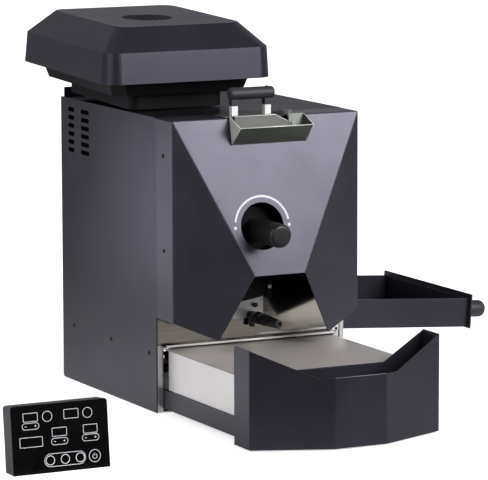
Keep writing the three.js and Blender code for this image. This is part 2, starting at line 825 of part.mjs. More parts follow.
const housingDepth = [sheet + clearance, bulkhead.y - clearance];
add(
  'drum_housing',
  cut(
    alongY(archOutline(housing.radius, housing.bottom), ...housingDepth, fine / 4),
    alongY(
      archOutline(housing.radius - sheet, housing.bottom - overrun),
      housingDepth[0] - overrun,
      housingDepth[1] + overrun,
      fine / 4,
    ),
  ),
  finishes.steel,
);
add(
  'exhaust_duct',
  cut(
    block([duct.left, duct.right], [ductFront, duct.back], [duct.bottom, underRoof - clearance]),
    block(
      [duct.left + sheet, duct.right - sheet],
      [ductFront + sheet, duct.back - sheet],
      [duct.bottom + sheet, underRoof + overrun],
    ),
    ductWindow,
  ),
  finishes.steel,
);
const heaterLoop = [
  heater.centres.map((x) => rodY(heater.radius, x, heater.z, ...housingDepth, 12)),
  rodX(heater.radius, housingDepth[1] - heater.radius, heater.z, heater.centres[0], heater.centres[1], 12),
  rodX(heater.radius, housingDepth[0] + heater.radius, heater.z, heater.centres[1], heater.centres[2], 12),
].flat();
add('heater_element', join(...heaterLoop), finishes.steel);
add(
  'temperature_probe',
  join(
    rodY(probe.radius, probe.x, probe.z, -probe.front, probe.back, 12),
    rodY(probe.headRadius, probe.x, probe.z, -probe.front, probe.headLength - probe.front, 12),
  ),
  finishes.steel,
);

// Belt drive behind the bulkhead.
const motorFront = innerBack - motor.length;
add(
  'motor_pulley',
  join(
    rodY(pulley.motorRadius, motor.x, motor.z, pulley.y, pulleyEnd, fine),
    rodY(motor.shaftRadius, motor.x, motor.z, pulley.y, motorFront + motor.reach),
  ),
  finishes.steel,
);
add(
  'drum_motor',
  cut(
    rodY(motor.radius, motor.x, motor.z, motorFront, innerBack, fine),
    rodY(
      motor.shaftRadius + clearance,
      motor.x,
      motor.z,
      motorFront - overrun,
      motorFront + motor.reach + clearance,
    ),
  ),
  finishes.black,
);

function beltOutline(extra) {
  const span = new THREE.Vector2(motor.x, motor.z - drum.z);
  const big = pulley.drumRadius + clearance + extra;
  const small = pulley.motorRadius + clearance + extra;
  const lean = Math.acos((big - small) / span.length());
  const heading = span.angle();
  const shape = new THREE.Shape();
  shape.absarc(0, drum.z, big, heading + lean, heading - lean + 2 * Math.PI);
  shape.absarc(motor.x, motor.z, small, heading - lean, heading + lean);
  return shape;
}
const beltStart = pulley.y + (pulley.width - belt.width) / 2;
add(
  'drive_belt',
  cut(
    alongY(beltOutline(belt.thickness), beltStart, beltStart + belt.width, fine / 2),
    alongY(beltOutline(0), beltStart - overrun, beltStart + belt.width + overrun, fine / 2),
  ),
  finishes.rubber,
);

// Hood frame: its origin lies on the cabinet top under the middle of the hood.
const hoodFrame = new THREE.Group();
hoodFrame.position.set(hood.x, hood.y, roof);
hoodFrame.rotation.x = THREE.MathUtils.degToRad(hood.tip);
roaster.add(hoodFrame);
hoodFrame.updateMatrix();

function hull(rims, inset) {
  const points = rims.flatMap(({ height, halfX, halfY, chamfer }) => {
    const corners = chamfered(halfX - inset, halfY - inset, chamfer);
    return corners.map(([x, y]) => new THREE.Vector3(x, y, height));
  });
  return new ConvexGeometry(points);
}

const [bandFoot, , hoodTop] = hood.rims;
const insideRims = hood.rims.map((rim) => ({ ...rim }));
insideRims[0].height -= overrun;
insideRims[2].height -= hood.wall;
add(
  'hood_shell',
  cut(
    hull(hood.rims, 0),
    hull(insideRims, hood.wall),
    rodZ(
      grille.radius + clearance,
      grille.x,
      grille.y,
      hoodTop.height - overrun - hood.wall,
      hoodTop.height + overrun,
      fine,
    ),
  ),
  finishes.charcoal,
  hoodFrame,
);

function skirtRims(inset, lowerBy) {
  const rim = (height, inwards) => ({
    height,
    halfX: bandFoot.halfX - inwards - inset,
    halfY: bandFoot.halfY - inwards - inset,
    chamfer: bandFoot.chamfer,
  });
  const { height, topInset, bottomInset } = hood.skirt;
  return [rim(height + lowerBy, bottomInset), rim(bandFoot.height + lowerBy, topInset)];
}

const skirtFloor = outline(chamfered(
  bandFoot.halfX - hood.wall - rest,
  bandFoot.halfY - hood.wall - rest,
  bandFoot.chamfer,
));
const neckLocal = {
  x: neckInside.x.map((x) => x - hood.x),
  y: neckInside.y.map((y) => y - hood.y),
};
add(
  'hood_base',
  cut(
    join(
      hull(skirtRims(0, 0), 0),
      alongZ(skirtFloor, bandFoot.height - clearance, bandFoot.height + sheet),
    ),
    hull(skirtRims(sheet, sheet), 0),
    alongZ(outline(chamfered(
      bandFoot.halfX - hood.skirt.topInset - sheet,
      bandFoot.halfY - hood.skirt.topInset - sheet,
      bandFoot.chamfer,
    )), bandFoot.height, bandFoot.height + overrun),
    block(neckLocal.x, neckLocal.y, [0, bandFoot.height]),
  ),
  finishes.black,
  hoodFrame,
);

const grilleTop = hoodTop.height - grille.recess;
const grilleSlots = [];
const ringStep = (grille.radius - grille.hubRadius) / grille.rings;
for (let ring = 0; ring < grille.rings; ring += 1) {
  const middle = grille.hubRadius + (ring + 0.5) * ringStep;
  for (let i = 0; i < grille.slots; i += 1) {
    const tool = block(
      [middle - ringStep / 3, middle + ringStep / 3],
      [-grille.slotWidth / 2, grille.slotWidth / 2],
      [grilleTop - overrun, grilleTop + overrun],
    );
    tool.rotateZ(((i + ring / 2) * 2 * Math.PI) / grille.slots).translate(grille.x, grille.y, 0);
    grilleSlots.push(tool);
  }
}
add(
  'hood_grille',
  cut(
    rodZ(grille.radius, grille.x, grille.y, grilleTop - grille.thickness, grilleTop, fine),
    ...grilleSlots,
  ),
  finishes.black,
  hoodFrame,
);
const fanBlades = [];
const bladeWidth = fan.height;
for (let i = 0; i < fan.blades; i += 1) {
  const blade = block(
    [0, fan.radius],
    [-bladeWidth / 2, bladeWidth / 2],
    [-fan.bladeThickness / 2, fan.bladeThickness / 2],
  );
  blade.rotateX(THREE.MathUtils.degToRad(fan.bladePitch));
  blade.rotateZ((i * 2 * Math.PI) / fan.blades);
  fanBlades.push(blade.translate(grille.x, grille.y, fan.bottom + fan.height / 2));
}
add(
  'fan_impeller',
  cut(
    join(
      rodZ(fan.hubRadius, grille.x, grille.y, fan.bottom, fan.bottom + fan.height),
      ...fanBlades,
    ),
    rodZ(
      fanMotor.shaftRadius + clearance,
      grille.x,
      grille.y,
      fan.bottom - overrun,
      fan.bottom + fan.height / 2 + clearance,
    ),
  ),
  finishes.plastic,
  hoodFrame,
);
const armLevels = [fanMotor.bottom, fanMotor.bottom + fanMotor.armHeight];
const postTop = hoodTop.height - hood.wall - clearance;
const motorPieces = [
  rodZ(fanMotor.radius, grille.x, grille.y, fanMotor.bottom, fan.bottom - clearance),
  rodZ(fanMotor.shaftRadius, grille.x, grille.y, fanMotor.bottom, fan.bottom + fan.height / 2),
];
for (let i = 0; i < 3; i += 1) {
  const angle = (i * 2 * Math.PI) / 3;
  const arm = block(
    [0, fanMotor.postCircle],
    [-fanMotor.armWidth / 2, fanMotor.armWidth / 2],
    armLevels,
  );
  const upright = rodZ(fanMotor.postRadius, fanMotor.postCircle, 0, fanMotor.bottom, postTop, 12);
  for (const piece of [arm, upright]) {
    motorPieces.push(piece.rotateZ(angle).translate(grille.x, grille.y, 0));
  }
}
add('fan_motor', join(...motorPieces), finishes.black, hoodFrame);

// Neck: a rectangular tube whose top follows the slope of the hood's underside.
const neckTop = hood.skirt.height - clearance;
const neckTall = block([neck.left, neck.right], [neck.front, neck.back], [roof, roof + bandFoot.height]);
const flangePlan = [
  [neck.left - neck.flange - hood.x, neck.right + neck.flange - hood.x],
  [neck.front - neck.flange - hood.y, neck.back + neck.flange - hood.y],
];
const underHood = block(...flangePlan, [-bandFoot.height, neckTop]).applyMatrix4(hoodFrame.matrix);
const neckFlange = block(...flangePlan, [neckTop - sheet, neckTop]).applyMatrix4(hoodFrame.matrix);
add(
  'hood_neck',
  cut(
    join(common(neckTall, underHood), neckFlange),
    block(neckInside.x, neckInside.y, [roof - overrun, roof + bandFoot.height]),
  ),
  finishes.black,
);

// Cooling drawer.
const drawerOut = -drawer.pulledOut;
function drawerPlan(inset) {
  const run = drawer.facetDepth / (side - drawer.centreHalf);
  const half = side - inset;
  const slant = Math.hypot(1, run) * inset;
  const nose = drawer.pulledOut + drawer.flange + drawer.facetDepth;
  const flangeOut = nose - run * (half - drawer.centreHalf) - slant;
  const centreOut = nose - inset;
  const centreHalf = drawer.centreHalf - (slant - inset) / run;
  const front = [[centreHalf, -centreOut], [half, -flangeOut], [half, drawerOut]];
  return outline(front.map(([x, y]) => [-x, y]).reverse().concat(front));
}
const drawerNotch = outline([
  [-side, drawer.top],
  [-drawer.notchHalf, drawer.notchHeight],
  [drawer.notchHalf, drawer.notchHeight],
  [side, drawer.top],
]);
const drawerNose = drawer.pulledOut + drawer.flange + drawer.facetDepth;
add(
  'drawer_front',
  cut(
    alongZ(drawerPlan(0), drawer.bottom, drawer.top),
    cut(
      alongZ(drawerPlan(sheet), drawer.bottom + sheet, drawer.top + overrun),
      block([-side, side], [drawerOut - clearance, drawerOut + overrun], [0, drawer.bottom]),
    ),
    alongY(drawerNotch, -drawerNose - overrun, drawerOut + overrun),
    block([-innerSide, innerSide], [drawerOut - sheet, drawerOut + overrun], [drawer.bottom + sheet, drawer.top]),
  ),
  finishes.charcoal,
);
const plateNotch = outline([
  [-side, drawer.top],
  [-drawer.plateNotchHalf, drawer.plateNotchHeight],
  [drawer.plateNotchHalf, drawer.plateNotchHeight],
  [side, drawer.top],
]);
const boxFront = drawerOut + sheet;
add(
  'drawer_back_plate',
  cut(
    block([-side, side], [drawerOut, boxFront], [drawer.bottom, drawer.top]),
    alongY(plateNotch, drawerOut - overrun, boxFront + overrun),
  ),
  finishes.charcoal,
);
const { box, base } = drawer;
const deckBottom = box.top - box.deck;
add(
  'drawer_box',
  cut(
    block([-box.half, box.half], [boxFront, box.back], [box.bottom, deckBottom - clearance]),
    block(
      [box.wall - box.half, box.half - box.wall],
      [boxFront + box.wall, box.back + overrun],
      [box.bottom - overrun, deckBottom + overrun],
    ),
  ),
  finishes.brushed,
);
add(
  'drawer_deck',
  block([-box.half, box.half], [boxFront, drawer.deckBack], [deckBottom, box.top]),
  finishes.brushed,
);
add(
  'drawer_base',
  cut(
    block([-base.half, base.half], [boxFront, base.back], [base.bottom, box.bottom - clearance]),
    block(
      [base.wall - base.half, base.half - base.wall],
      [boxFront + base.wall, base.back + overrun],
      [base.bottom + sheet, box.bottom + overrun],
    ),
  ),
  finishes.charcoal,
);
const runnerLevels = [floor, base.bottom - clearance];
add(
  'drawer_runners',
  cut(
    block([-runner.half, runner.half], [runner.front, runner.back], runnerLevels),
    block(
      [runner.width - runner.half, runner.half - runner.width],
      [runner.front - overrun, runner.back - runner.width],
      [runnerLevels[0] - overrun, runnerLevels[1] + overrun],
    ),
  ),
  finishes.steel,
);

// Chaff tray in its tilted frame, with a guide frame between the side panels.
const trayInside = [tray.front + tray.wall, trayBack - tray.wall];
add(
  'chaff_tray',
  cut(
    block([-tray.length, 0], [tray.front, trayBack], [-tray.height, 0]),
    block([tray.wall - tray.length, -tray.wall], trayInside, [tray.wall - tray.height, overrun]),
  ),
  finishes.charcoal,
  trayFrame,
);
const { plate: endPlate, knob: trayKnob, frame: trayMouth } = tray;
const plateFace = clearance + endPlate.thickness;
add(
  'tray_end_plate',
  block(
    [clearance, plateFace],
    [tray.front - endPlate.overhang, trayBack + endPlate.overhang],
    [-tray.height - endPlate.drop, endPlate.rise],
  ),
  finishes.charcoal,
  trayFrame,
);
const bullet = [[0, 0], [trayKnob.neckRadius, 0], [trayKnob.radius, trayKnob.length / 3]];
for (let i = 1; i <= 6; i += 1) {
  const angle = (i * Math.PI) / 12;
  bullet.push([
    trayKnob.radius * Math.cos(angle),
    trayKnob.length - trayKnob.tip + trayKnob.tip * Math.sin(angle),
  ]);
}
bullet[bullet.length - 1][0] = 0;
add(
  'tray_knob',
  turned(bullet)
    .rotateZ(-Math.PI / 2)
    .translate(plateFace + clearance, trayKnob.y, -trayKnob.drop),
  finishes.grip,
  trayFrame,
);
add(
  'tray_mouth',
  cut(
    block([side, side + trayMouth.reach], [trayMouth.front, trayMouth.back], [trayMouth.bottom, trayMouth.top]),
    block([side - overrun, side + trayMouth.reach + overrun], slot.y, slot.z),
  ),
  finishes.brushed,
);

const guideLevels = [-tray.height - clearance - sheet, -tray.height - clearance];
const guideSpan = [-tray.endX - side - overrun, overrun + side - tray.endX];
function guideRail(wall, inwards) {
  const outer = wall - inwards * clearance;
  const y = [outer - inwards * sheet, outer + inwards * guide.width].sort((a, b) => a - b);
  const lipY = [outer - inwards * sheet, outer].sort((a, b) => a - b);
  return join(
    block(guideSpan, y, guideLevels),
    block(guideSpan, lipY, [guideLevels[0], guideLevels[0] + guide.lip]),
  );
}
const guideTie = block(
  [guideSpan[0], guideSpan[0] + 2 * guide.width],
  [tray.front, trayBack],
  guideLevels,
);
const guides = join(guideRail(tray.front, 1), guideRail(trayBack, -1), guideTie);
guides.applyMatrix4(trayFrame.matrix);
add(
  'tray_guides',
  common(guides, block(betweenSides, [0, innerBack], [floor, roof])),
  finishes.steel,
);

// Back panel fittings: cooling fan, power inlet, rocker switch and control board.
const fanFace = innerBack - coolingFan.depth;
const fanHalf = coolingFan.size / 2;
const spokeDepth = [innerBack - coolingFan.spoke, innerBack];
const { spokeHalf } = coolingFan;
const spokes = [
  block([-fanHalf, fanHalf], spokeDepth, [coolingFan.z - spokeHalf, coolingFan.z + spokeHalf]),
  block([-spokeHalf, spokeHalf], spokeDepth, [coolingFan.z - fanHalf, coolingFan.z + fanHalf]),
];
add(
  'cooling_fan_frame',
  join(
    cut(
      block(
        [-fanHalf, fanHalf],
        [fanFace, innerBack],
        [coolingFan.z - fanHalf, coolingFan.z + fanHalf],
      ),
      rodY(coolingFan.bore, 0, coolingFan.z, fanFace - overrun, innerBack + overrun, fine),
    ),
    ...spokes,
    rodY(coolingFan.hub, 0, coolingFan.z, ...spokeDepth),
  ),
  finishes.plastic,
);
const rotorBack = spokeDepth[0] - clearance;
const rotorBlades = [];
for (let i = 0; i < coolingFan.blades; i += 1) {
  const blade = block(
    [0, coolingFan.bore - coolingFan.tipGap],
    [-coolingFan.rotorDepth / 2, coolingFan.rotorDepth / 2],
    [-fan.bladeThickness / 2, fan.bladeThickness / 2],
  );
  blade.rotateX(THREE.MathUtils.degToRad(fan.bladePitch));
  blade.rotateY((i * 2 * Math.PI) / coolingFan.blades);
  rotorBlades.push(blade.translate(0, rotorBack - coolingFan.rotorDepth / 2, coolingFan.z));
}
add(
  'cooling_fan_rotor',
  join(
    rodY(coolingFan.hub, 0, coolingFan.z, rotorBack - coolingFan.rotorDepth, rotorBack),
    ...rotorBlades,
  ),
  finishes.plastic,
);

function socketBody(part, extra, y) {
  const { x, z, width, height } = part;
  const wide = width / 2 + extra;
  const tall = height / 2 + extra;
  return block([x - wide, x + wide], y, [z - tall, z + tall]);
}
const outside = cabinet.depth;
const wellFront = outside - rocker.depth / 2;
const flangeBack = [outside, outside + socket.proud];
add(
  'power_inlet',
  cut(
    join(
      socketBody(socket, 0, [innerBack - socket.depth, outside]),
      socketBody(rocker, 0, [innerBack - rocker.depth, outside]),
      socketBody(socket, socket.rim, flangeBack),
      socketBody(rocker, socket.rim, flangeBack),
    ),
    socketBody(socket, -sheet, [outside - socket.recess, outside + overrun]),
    socketBody(rocker, -sheet, [wellFront, outside + overrun]),
  ),
  finishes.plastic,
);
const keyHalfHeight = rocker.height / 2 - sheet - clearance;
const keyLevels = [rocker.z - keyHalfHeight, rocker.z + keyHalfHeight];
const rockerHalf = rocker.width / 2 - sheet - 4 * clearance;
const keyRadius = rocker.proud + rocker.depth / 2 - sheet;
const keyOutline = outline([
  [-rockerHalf, outside - sheet],
  [0, outside - keyRadius + rocker.proud],
  [rockerHalf, outside - sheet],
  [rockerHalf, outside + rocker.proud],
  [0, outside + rocker.proud / 2],
  [-rockerHalf, outside + rocker.proud / 3],
]);
add(
  'rocker_key',
  alongZ(keyOutline, ...keyLevels).translate(rocker.x, 0, 0),
  finishes.black,
);

const boardBack = innerBack - board.standoff;
const boardPosts = [];
for (const x of [board.left + board.postInset, board.right - board.postInset]) {
  for (const z of [board.bottom + board.postInset, board.top - board.postInset]) {
    boardPosts.push(rodY(board.postRadius, x, z, boardBack, innerBack, 12));
  }
}
const relays = [];
for (const share of [0.3, 0.7]) {
  const z = board.bottom + share * (board.top - board.bottom);
  const x = (board.left + board.right) / 2;
  relays.push(block(
    [x - board.relay.width / 2, x + board.relay.width / 2],
    [boardBack - board.thickness - board.relay.depth, boardBack - board.thickness],
    [z - board.relay.height / 2, z + board.relay.height / 2],
  ));
}
add(
  'control_board',
  join(
    block([board.left, board.right], [boardBack - board.thickness, boardBack], [board.bottom, board.top]),
    ...boardPosts,
    ...relays,
  ),
  finishes.board,
);

// Key pad: a slab that leans back, cut flat where it stands.
const padFrame = new THREE.Group();
padFrame.position.set((pad.left + pad.right) / 2, pad.frontY, 0);
padFrame.rotation.x = THREE.MathUtils.degToRad(-pad.lean);
padFrame.updateMatrix();
const padHalf = (pad.right - pad.left) / 2;
const padFace = rounded(-padHalf, padHalf, -pad.corner, pad.height, pad.corner);
const aboveFloor = block(
  [pad.left - overrun, pad.right + overrun],
  [pad.frontY - pad.depth, pad.frontY + pad.depth * 2],
  [0, pad.height * 2],
);
function padLayer(from, to) {
  return common(alongY(padFace, from, to).applyMatrix4(padFrame.matrix), aboveFloor);
}
add('pad_case', padLayer(pad.glass, pad.depth), finishes.plastic);
add('pad_glass', padLayer(0, pad.glass - clearance), finishes.glass);

export default roaster;
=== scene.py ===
import math

import bpy
import numpy as np
from mathutils import Matrix
from mathutils.geometry import delaunay_2d_cdt


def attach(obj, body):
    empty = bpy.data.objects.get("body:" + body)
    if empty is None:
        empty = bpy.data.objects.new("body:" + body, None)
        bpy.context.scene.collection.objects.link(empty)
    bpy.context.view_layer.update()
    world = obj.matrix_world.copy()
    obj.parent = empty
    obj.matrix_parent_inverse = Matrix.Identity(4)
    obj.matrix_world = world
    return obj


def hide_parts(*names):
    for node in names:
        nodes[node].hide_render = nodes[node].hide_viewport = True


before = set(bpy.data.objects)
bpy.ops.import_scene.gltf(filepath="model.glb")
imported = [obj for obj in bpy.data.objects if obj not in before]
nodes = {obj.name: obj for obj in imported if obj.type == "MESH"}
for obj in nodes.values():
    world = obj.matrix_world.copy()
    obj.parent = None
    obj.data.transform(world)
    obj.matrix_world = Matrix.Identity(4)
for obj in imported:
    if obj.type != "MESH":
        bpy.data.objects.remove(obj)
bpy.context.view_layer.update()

# An electric drum coffee roaster on a pale studio floor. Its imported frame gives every
# place and joint; the sections below dress it in the order in which it is put together.


# The camera: a long lens that stands low at the front left of the roaster and looks
# slightly down, turned a few degrees so that the frame holds roaster and key pad.
def standing(*columns):
    """The matrix whose columns are three axes and a place, in metres."""
    matrix = np.eye(4)
    matrix[:3, :] = np.array(columns).T
    return Matrix(matrix.tolist())


scene = bpy.context.scene
scene.view_settings.view_transform = "Standard"
camera_right = (0.89266, -0.45072, -0.00259)
camera_up = (0.06771, 0.12842, 0.98941)
camera_ahead = (0.44561, 0.88338, -0.14516)
camera_place = (-2.01785, -3.98633, 0.87305)
camera_data = bpy.data.cameras.new("camera")
camera_data.sensor_fit = "HORIZONTAL"
camera_data.sensor_width = 36.0
camera_data.lens = 259.15
camera_data.clip_start = 0.1
camera_data.clip_end = 60.0
camera = bpy.data.objects.new("camera", camera_data)
scene.collection.objects.link(camera)
camera.matrix_world = standing(camera_right, camera_up, np.negative(camera_ahead), camera_place)
scene.camera = camera


# Studio floor: a sheet of pale paper, plain white to the camera. To every other ray it
# fades towards the front and far behind, and it keeps the roaster's soft shadow.
def place(tree, kind, inputs=None, **settings):
    """Adds a shader node. Each input is a plain value, or the socket that feeds it."""
    made = tree.nodes.new("ShaderNode" + kind)
    for key, value in settings.items():
        setattr(made, key, value)
    for key, value in (inputs or {}).items():
        if isinstance(value, bpy.types.NodeSocket):
            tree.links.new(value, made.inputs[key])
        else:
            made.inputs[key].default_value = value
    return made


def calculate(tree, operation, *values):
    """One step of arithmetic, such as MULTIPLY, on plain values or sockets."""
    return place(tree, "Math", dict(enumerate(values)), operation=operation).outputs[0]


def span(tree, value, low, high, bottom, top, **settings):
    """A value that runs from low to high, mapped to run from bottom to top."""
    ends = {"From Min": low, "From Max": high, "To Min": bottom, "To Max": top}
    return place(tree, "MapRange", {"Value": value, **ends}, **settings).outputs["Result"]


def one_if(tree, condition, otherwise):
    """One where the condition is 1, and the other value where it is 0."""
    inputs = {"Factor": condition, "A": otherwise, "B": 1.0}
    return place(tree, "Mix", inputs, data_type="FLOAT").outputs["Result"]


def surface_object(name, points, faces, material, smooth=True):
    """A mesh object from arrays of points and of faces, in metres, at the origin."""
    mesh = bpy.data.meshes.new(name)
    mesh.from_pydata(np.asarray(points, float).tolist(), [], [list(map(int, f)) for f in faces])
    mesh.polygons.foreach_set("use_smooth", np.full(len(mesh.polygons), smooth))
    mesh.materials.append(material)
    mesh.update()
    made = bpy.data.objects.new(name, mesh)
    scene.collection.objects.link(made)
    return made


white, mirror_share = (1.0, 1.0, 1.0, 1.0), 0.5
paper = bpy.data.materials.new("studio_paper")
paper.use_nodes = True
tree = paper.node_tree
tree.nodes.clear()
rays = place(tree, "LightPath").outputs
spot = place(tree, "TexCoord")
depth = place(tree, "SeparateXYZ", {"Vector": spot.outputs["Object"]}).outputs["Y"]
front_fade = span(tree, depth, -0.6, 0.12, 0.04, 0.85)
far_fade = span(tree, depth, 0.3, 1.2, 1.0, 0.25)
near_tone = calculate(tree, "MULTIPLY", front_fade, far_fade)
paper_tone = one_if(tree, rays["Is Camera Ray"], near_tone)
paper_colour = place(tree, "CombineColor", dict.fromkeys(("Red", "Green", "Blue"), paper_tone))
matt = place(tree, "BsdfDiffuse", {"Color": paper_colour.outputs["Color"]})
mirrored = calculate(tree, "MULTIPLY", near_tone, rays["Is Glossy Ray"])
dimmed = calculate(tree, "MULTIPLY", mirrored, mirror_share)
back_lift = span(tree, depth, 0.3, 0.9, 0.68, 1.0)
watched = calculate(tree, "MULTIPLY", back_lift, rays["Is Camera Ray"])
raised = calculate(tree, "MAXIMUM", watched, dimmed)
lift = place(tree, "Emission", {"Color": white, "Strength": raised})
seen = place(tree, "AddShader", {0: matt.outputs[0], 1: lift.outputs[0]})
place(tree, "OutputMaterial", {"Surface": seen.outputs[0]})
floor_corners = np.array([(-1, -1, 0), (1, -1, 0), (1, 1, 0), (-1, 1, 0)])
floor_half = 9.0
floor = surface_object("studio_floor", floor_corners * floor_half, [[0, 1, 2, 3]], paper)


# Studio room: plain white to the camera. What lights and mirrors in the roaster is a soft,
# slightly cool grey that is a little lighter towards the back of the room.
def mixed(tree, factor, first, second):
    """A colour that goes from the first to the second as the factor goes from 0 to 1."""
    inputs = {"Factor": factor, 6: first, 7: second}
    return place(tree, "Mix", inputs, data_type="RGBA").outputs[2]


room_cool = (0.93, 0.92, 1.0, 1.0)
world = bpy.data.worlds.new("studio_room")
scene.world = world
world.use_nodes = True
tree = world.node_tree
tree.nodes.clear()
watching = place(tree, "LightPath").outputs["Is Camera Ray"]
spot = place(tree, "TexCoord")
heading = place(tree, "SeparateXYZ", {"Vector": spot.outputs["Generated"]}).outputs["Y"]
behind = span(tree, heading, -0.35, 0.35, 0.2, 0.34, interpolation_type="SMOOTHSTEP")
inputs = {"Color": mixed(tree, watching, room_cool, white)}
inputs["Strength"] = one_if(tree, watching, behind)
room = place(tree, "Background", inputs)
place(tree, "OutputWorld", {"Surface": room.outputs[0]})


# Studio lamps: a large key at the right front and a weaker one at the left, then three
# small ones that graze the mask's left flank, the hood's side and the lip in the notch.
def diffuser(
    name, azimuth, elevation, distance, size, radiance, target=(0, 0, 0.25), colour=(1, 1, 1)
):
    """A rectangular lamp seen from the target at that compass angle and height in degrees.
    Its power is the radiance times its area times pi."""
    around, above = math.radians(azimuth), math.radians(elevation)
    back = np.array([
        math.sin(around) * math.cos(above),
        -math.cos(around) * math.cos(above),
        math.sin(above),
    ])
    lamp = bpy.data.lights.new(name, "AREA")
    lamp.shape = "RECTANGLE"
    lamp.size, lamp.size_y = size
    lamp.energy = radiance * size[0] * size[1] * math.pi
    lamp.color = colour
    held = bpy.data.objects.new(name, lamp)
    scene.collection.objects.link(held)
    across = np.cross((0, 0, 1), back)
    across /= np.linalg.norm(across)
    held.matrix_world = standing(across, np.cross(back, across), back, target + back * distance)
    held.visible_camera = False


cool = (0.84, 0.84, 1.0)
diffuser("key_diffuser", 27, 25.5, 1.9, size=(1.1, 1.05), radiance=8.9)
diffuser("left_diffuser", -70, 25, 2.6, size=(1.4, 1.4), radiance=3.2)
diffuser("side_diffuser", -150, -13, 0.65, (0.18, 0.24), 2.1, (-0.13, -0.11, 0.36), cool)
diffuser("corner_diffuser", -66, -8, 1.6, (1.1, 0.3), 0.45, (-0.1, 0, 0.46), cool)
diffuser("plate_diffuser", 26.8, -8.4, 0.6, (0.11, 0.12), 2.5, (0.11, 0, 0.125))


# Cabinet: bent steel side panels, a top and an upright back plate, powder coated and
# baked. The coat has a fine orange peel and an uneven tone; its edges and folds are painted lighter
# as a painted highlight.
def linear(red, green, blue):
    """A colour given in the 0 to 255 steps of a display, as the shader's linear values."""
    steps = np.array([red, green, blue]) / 255
    low = steps / 12.92
    high = ((steps + 0.055) / 1.055) ** 2.4
    return (*np.where(steps <= 0.04045, low, high).tolist(), 1.0)


def new_group(name, inputs, outputs):
    """A shader node group; each dictionary gives a socket's name and its kind."""
    made = bpy.data.node_groups.new(name, "ShaderNodeTree")
    for direction, sockets in (("INPUT", inputs), ("OUTPUT", outputs)):
        for title, kind in sockets.items():
            made.interface.new_socket(title, in_out=direction, socket_type="NodeSocket" + kind)
    return made, made.nodes.new("NodeGroupInput").outputs, made.nodes.new("NodeGroupOutput").inputs


def noise(tree, vector, scale, detail, roughness):
    """Cloudy noise from 0 to 1, with smaller copies of itself added as detail."""
    inputs = {"Vector": vector, "Scale": scale, "Detail": detail, "Roughness": roughness}
    return place(tree, "TexNoise", inputs).outputs["Fac"]


def scaled(tree, colour, factor):
    """A colour times a factor."""
    made = place(tree, "VectorMath", {0: colour, "Scale": factor}, operation="SCALE")
    return made.outputs["Vector"]


surface_sockets = {"Colour": "Color", "Roughness": "Float", "Height": "Float"}
grain_group, given, wanted = new_group(
    "grain_and_edge_highlight",
    {"Colour": "Color", "Gloss": "Float", "Grain": "Float", "Wear": "Float"},
    surface_sockets,
)
tree, edge_reach, highlight_lightness = grain_group, 0.0012, 2.4
spot = place(tree, "TexCoord").outputs["Object"]
peel = noise(tree, spot, given["Grain"], 2.0, 0.55)
cloud = noise(tree, spot, 11.0, 3.0, 0.6)
tone = span(tree, cloud, 0.3, 0.7, 0.88, 1.12)
speck = span(tree, peel, 0.35, 0.75, 0.9, 1.18)
toned = scaled(tree, given["Colour"], calculate(tree, "MULTIPLY", tone, speck))
# Edges and folds, where the rounded shading normal leaves the face's own, are painted a lighter
# tone: a painted highlight.
eased = place(tree, "Bevel", {"Radius": edge_reach}, samples=4)
flat = place(tree, "NewGeometry")
normals = {0: eased.outputs["Normal"], 1: flat.outputs["True Normal"]}
facing = place(tree, "VectorMath", normals, operation="DOT_PRODUCT").outputs["Value"]
edge = span(tree, facing, 0.995, 0.86, 0.0, 1.0)
painted_edge_highlight = calculate(tree, "MULTIPLY", edge, given["Wear"])
film = mixed(tree, painted_edge_highlight, toned, scaled(tree, toned, highlight_lightness))
rubbed = calculate(tree, "MULTIPLY_ADD", cloud, 0.22, -0.11)
dull = calculate(tree, "ADD", given["Gloss"], rubbed)
tree.links.new(film, wanted["Colour"])
tree.links.new(dull, wanted["Roughness"])
tree.links.new(peel, wanted["Height"])


def material_with(name, group, values, relief, **plain):
    """A Principled material whose colour, roughness and bump come from a group, and whose
    other numbers are set on the shader's own sockets. Relief is the bump's depth."""
    made = bpy.data.materials.new(name)
    made.use_nodes = True
    tree = made.node_tree
    shader = tree.nodes["Principled BSDF"]
    source = place(tree, "Group", node_tree=group)
    for key, value in values.items():
        source.inputs[key].default_value = value
    inputs = {"Height": source.outputs["Height"], "Distance": relief, "Strength": 1.0}
    bump = place(tree, "Bump", inputs)
    tree.links.new(source.outputs["Colour"], shader.inputs["Base Color"])
    tree.links.new(source.outputs["Roughness"], shader.inputs["Roughness"])
    tree.links.new(bump.outputs["Normal"], shader.inputs["Normal"])
    for key, value in plain.items():
        shader.inputs[key.replace("_", " ")].default_value = value
    made.diffuse_color = values["Colour"]
    return made


def coat(name, colour, gloss, grain=1400.0, edge_highlight_share=0.4, relief=0.00006, **plain):
    """Powder coat, or a plastic, print or rubber with a grain like it. The edge highlight
    share is how far the edges go to a lighter tone, a painted highlight, and a higher gloss value
    is duller."""
    values = {"Colour": colour, "Gloss": gloss, "Grain": grain, "Wear": edge_highlight_share}
    return material_with(name, grain_group, values, relief, **plain)


def modify(piece, name, kind, **settings):
    """Adds a modifier, which stays live, with its settings."""
    made = piece.modifiers.new(name, kind)
    for key, value in settings.items():
        setattr(made, key, value)


mm, degree = 0.001, math.radians(1)


def round_edges(piece, name, radius, steps, sharper_than):
    """Rounds the edges that turn by more than that angle, in millimetres and degrees."""
    limit = sharper_than * degree
    modify(piece, name, "BEVEL", width=radius * mm, segments=steps, angle_limit=limit)


def dress(material, ease, *names):
    """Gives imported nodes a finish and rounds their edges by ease, in millimetres."""
    for name in names:
        node = nodes[name]
        for slot in node.material_slots:
            slot.material = material
        if ease:
            modify(node, "merge", "WELD", merge_threshold=0.00001)
            modify(node, "flatten", "DECIMATE", decimate_type="DISSOLVE", angle_limit=0.5 * degree)
            round_edges(node, "ease", ease, 2, 25)
            modify(node, "shade", "WEIGHTED_NORMAL", keep_sharp=False)


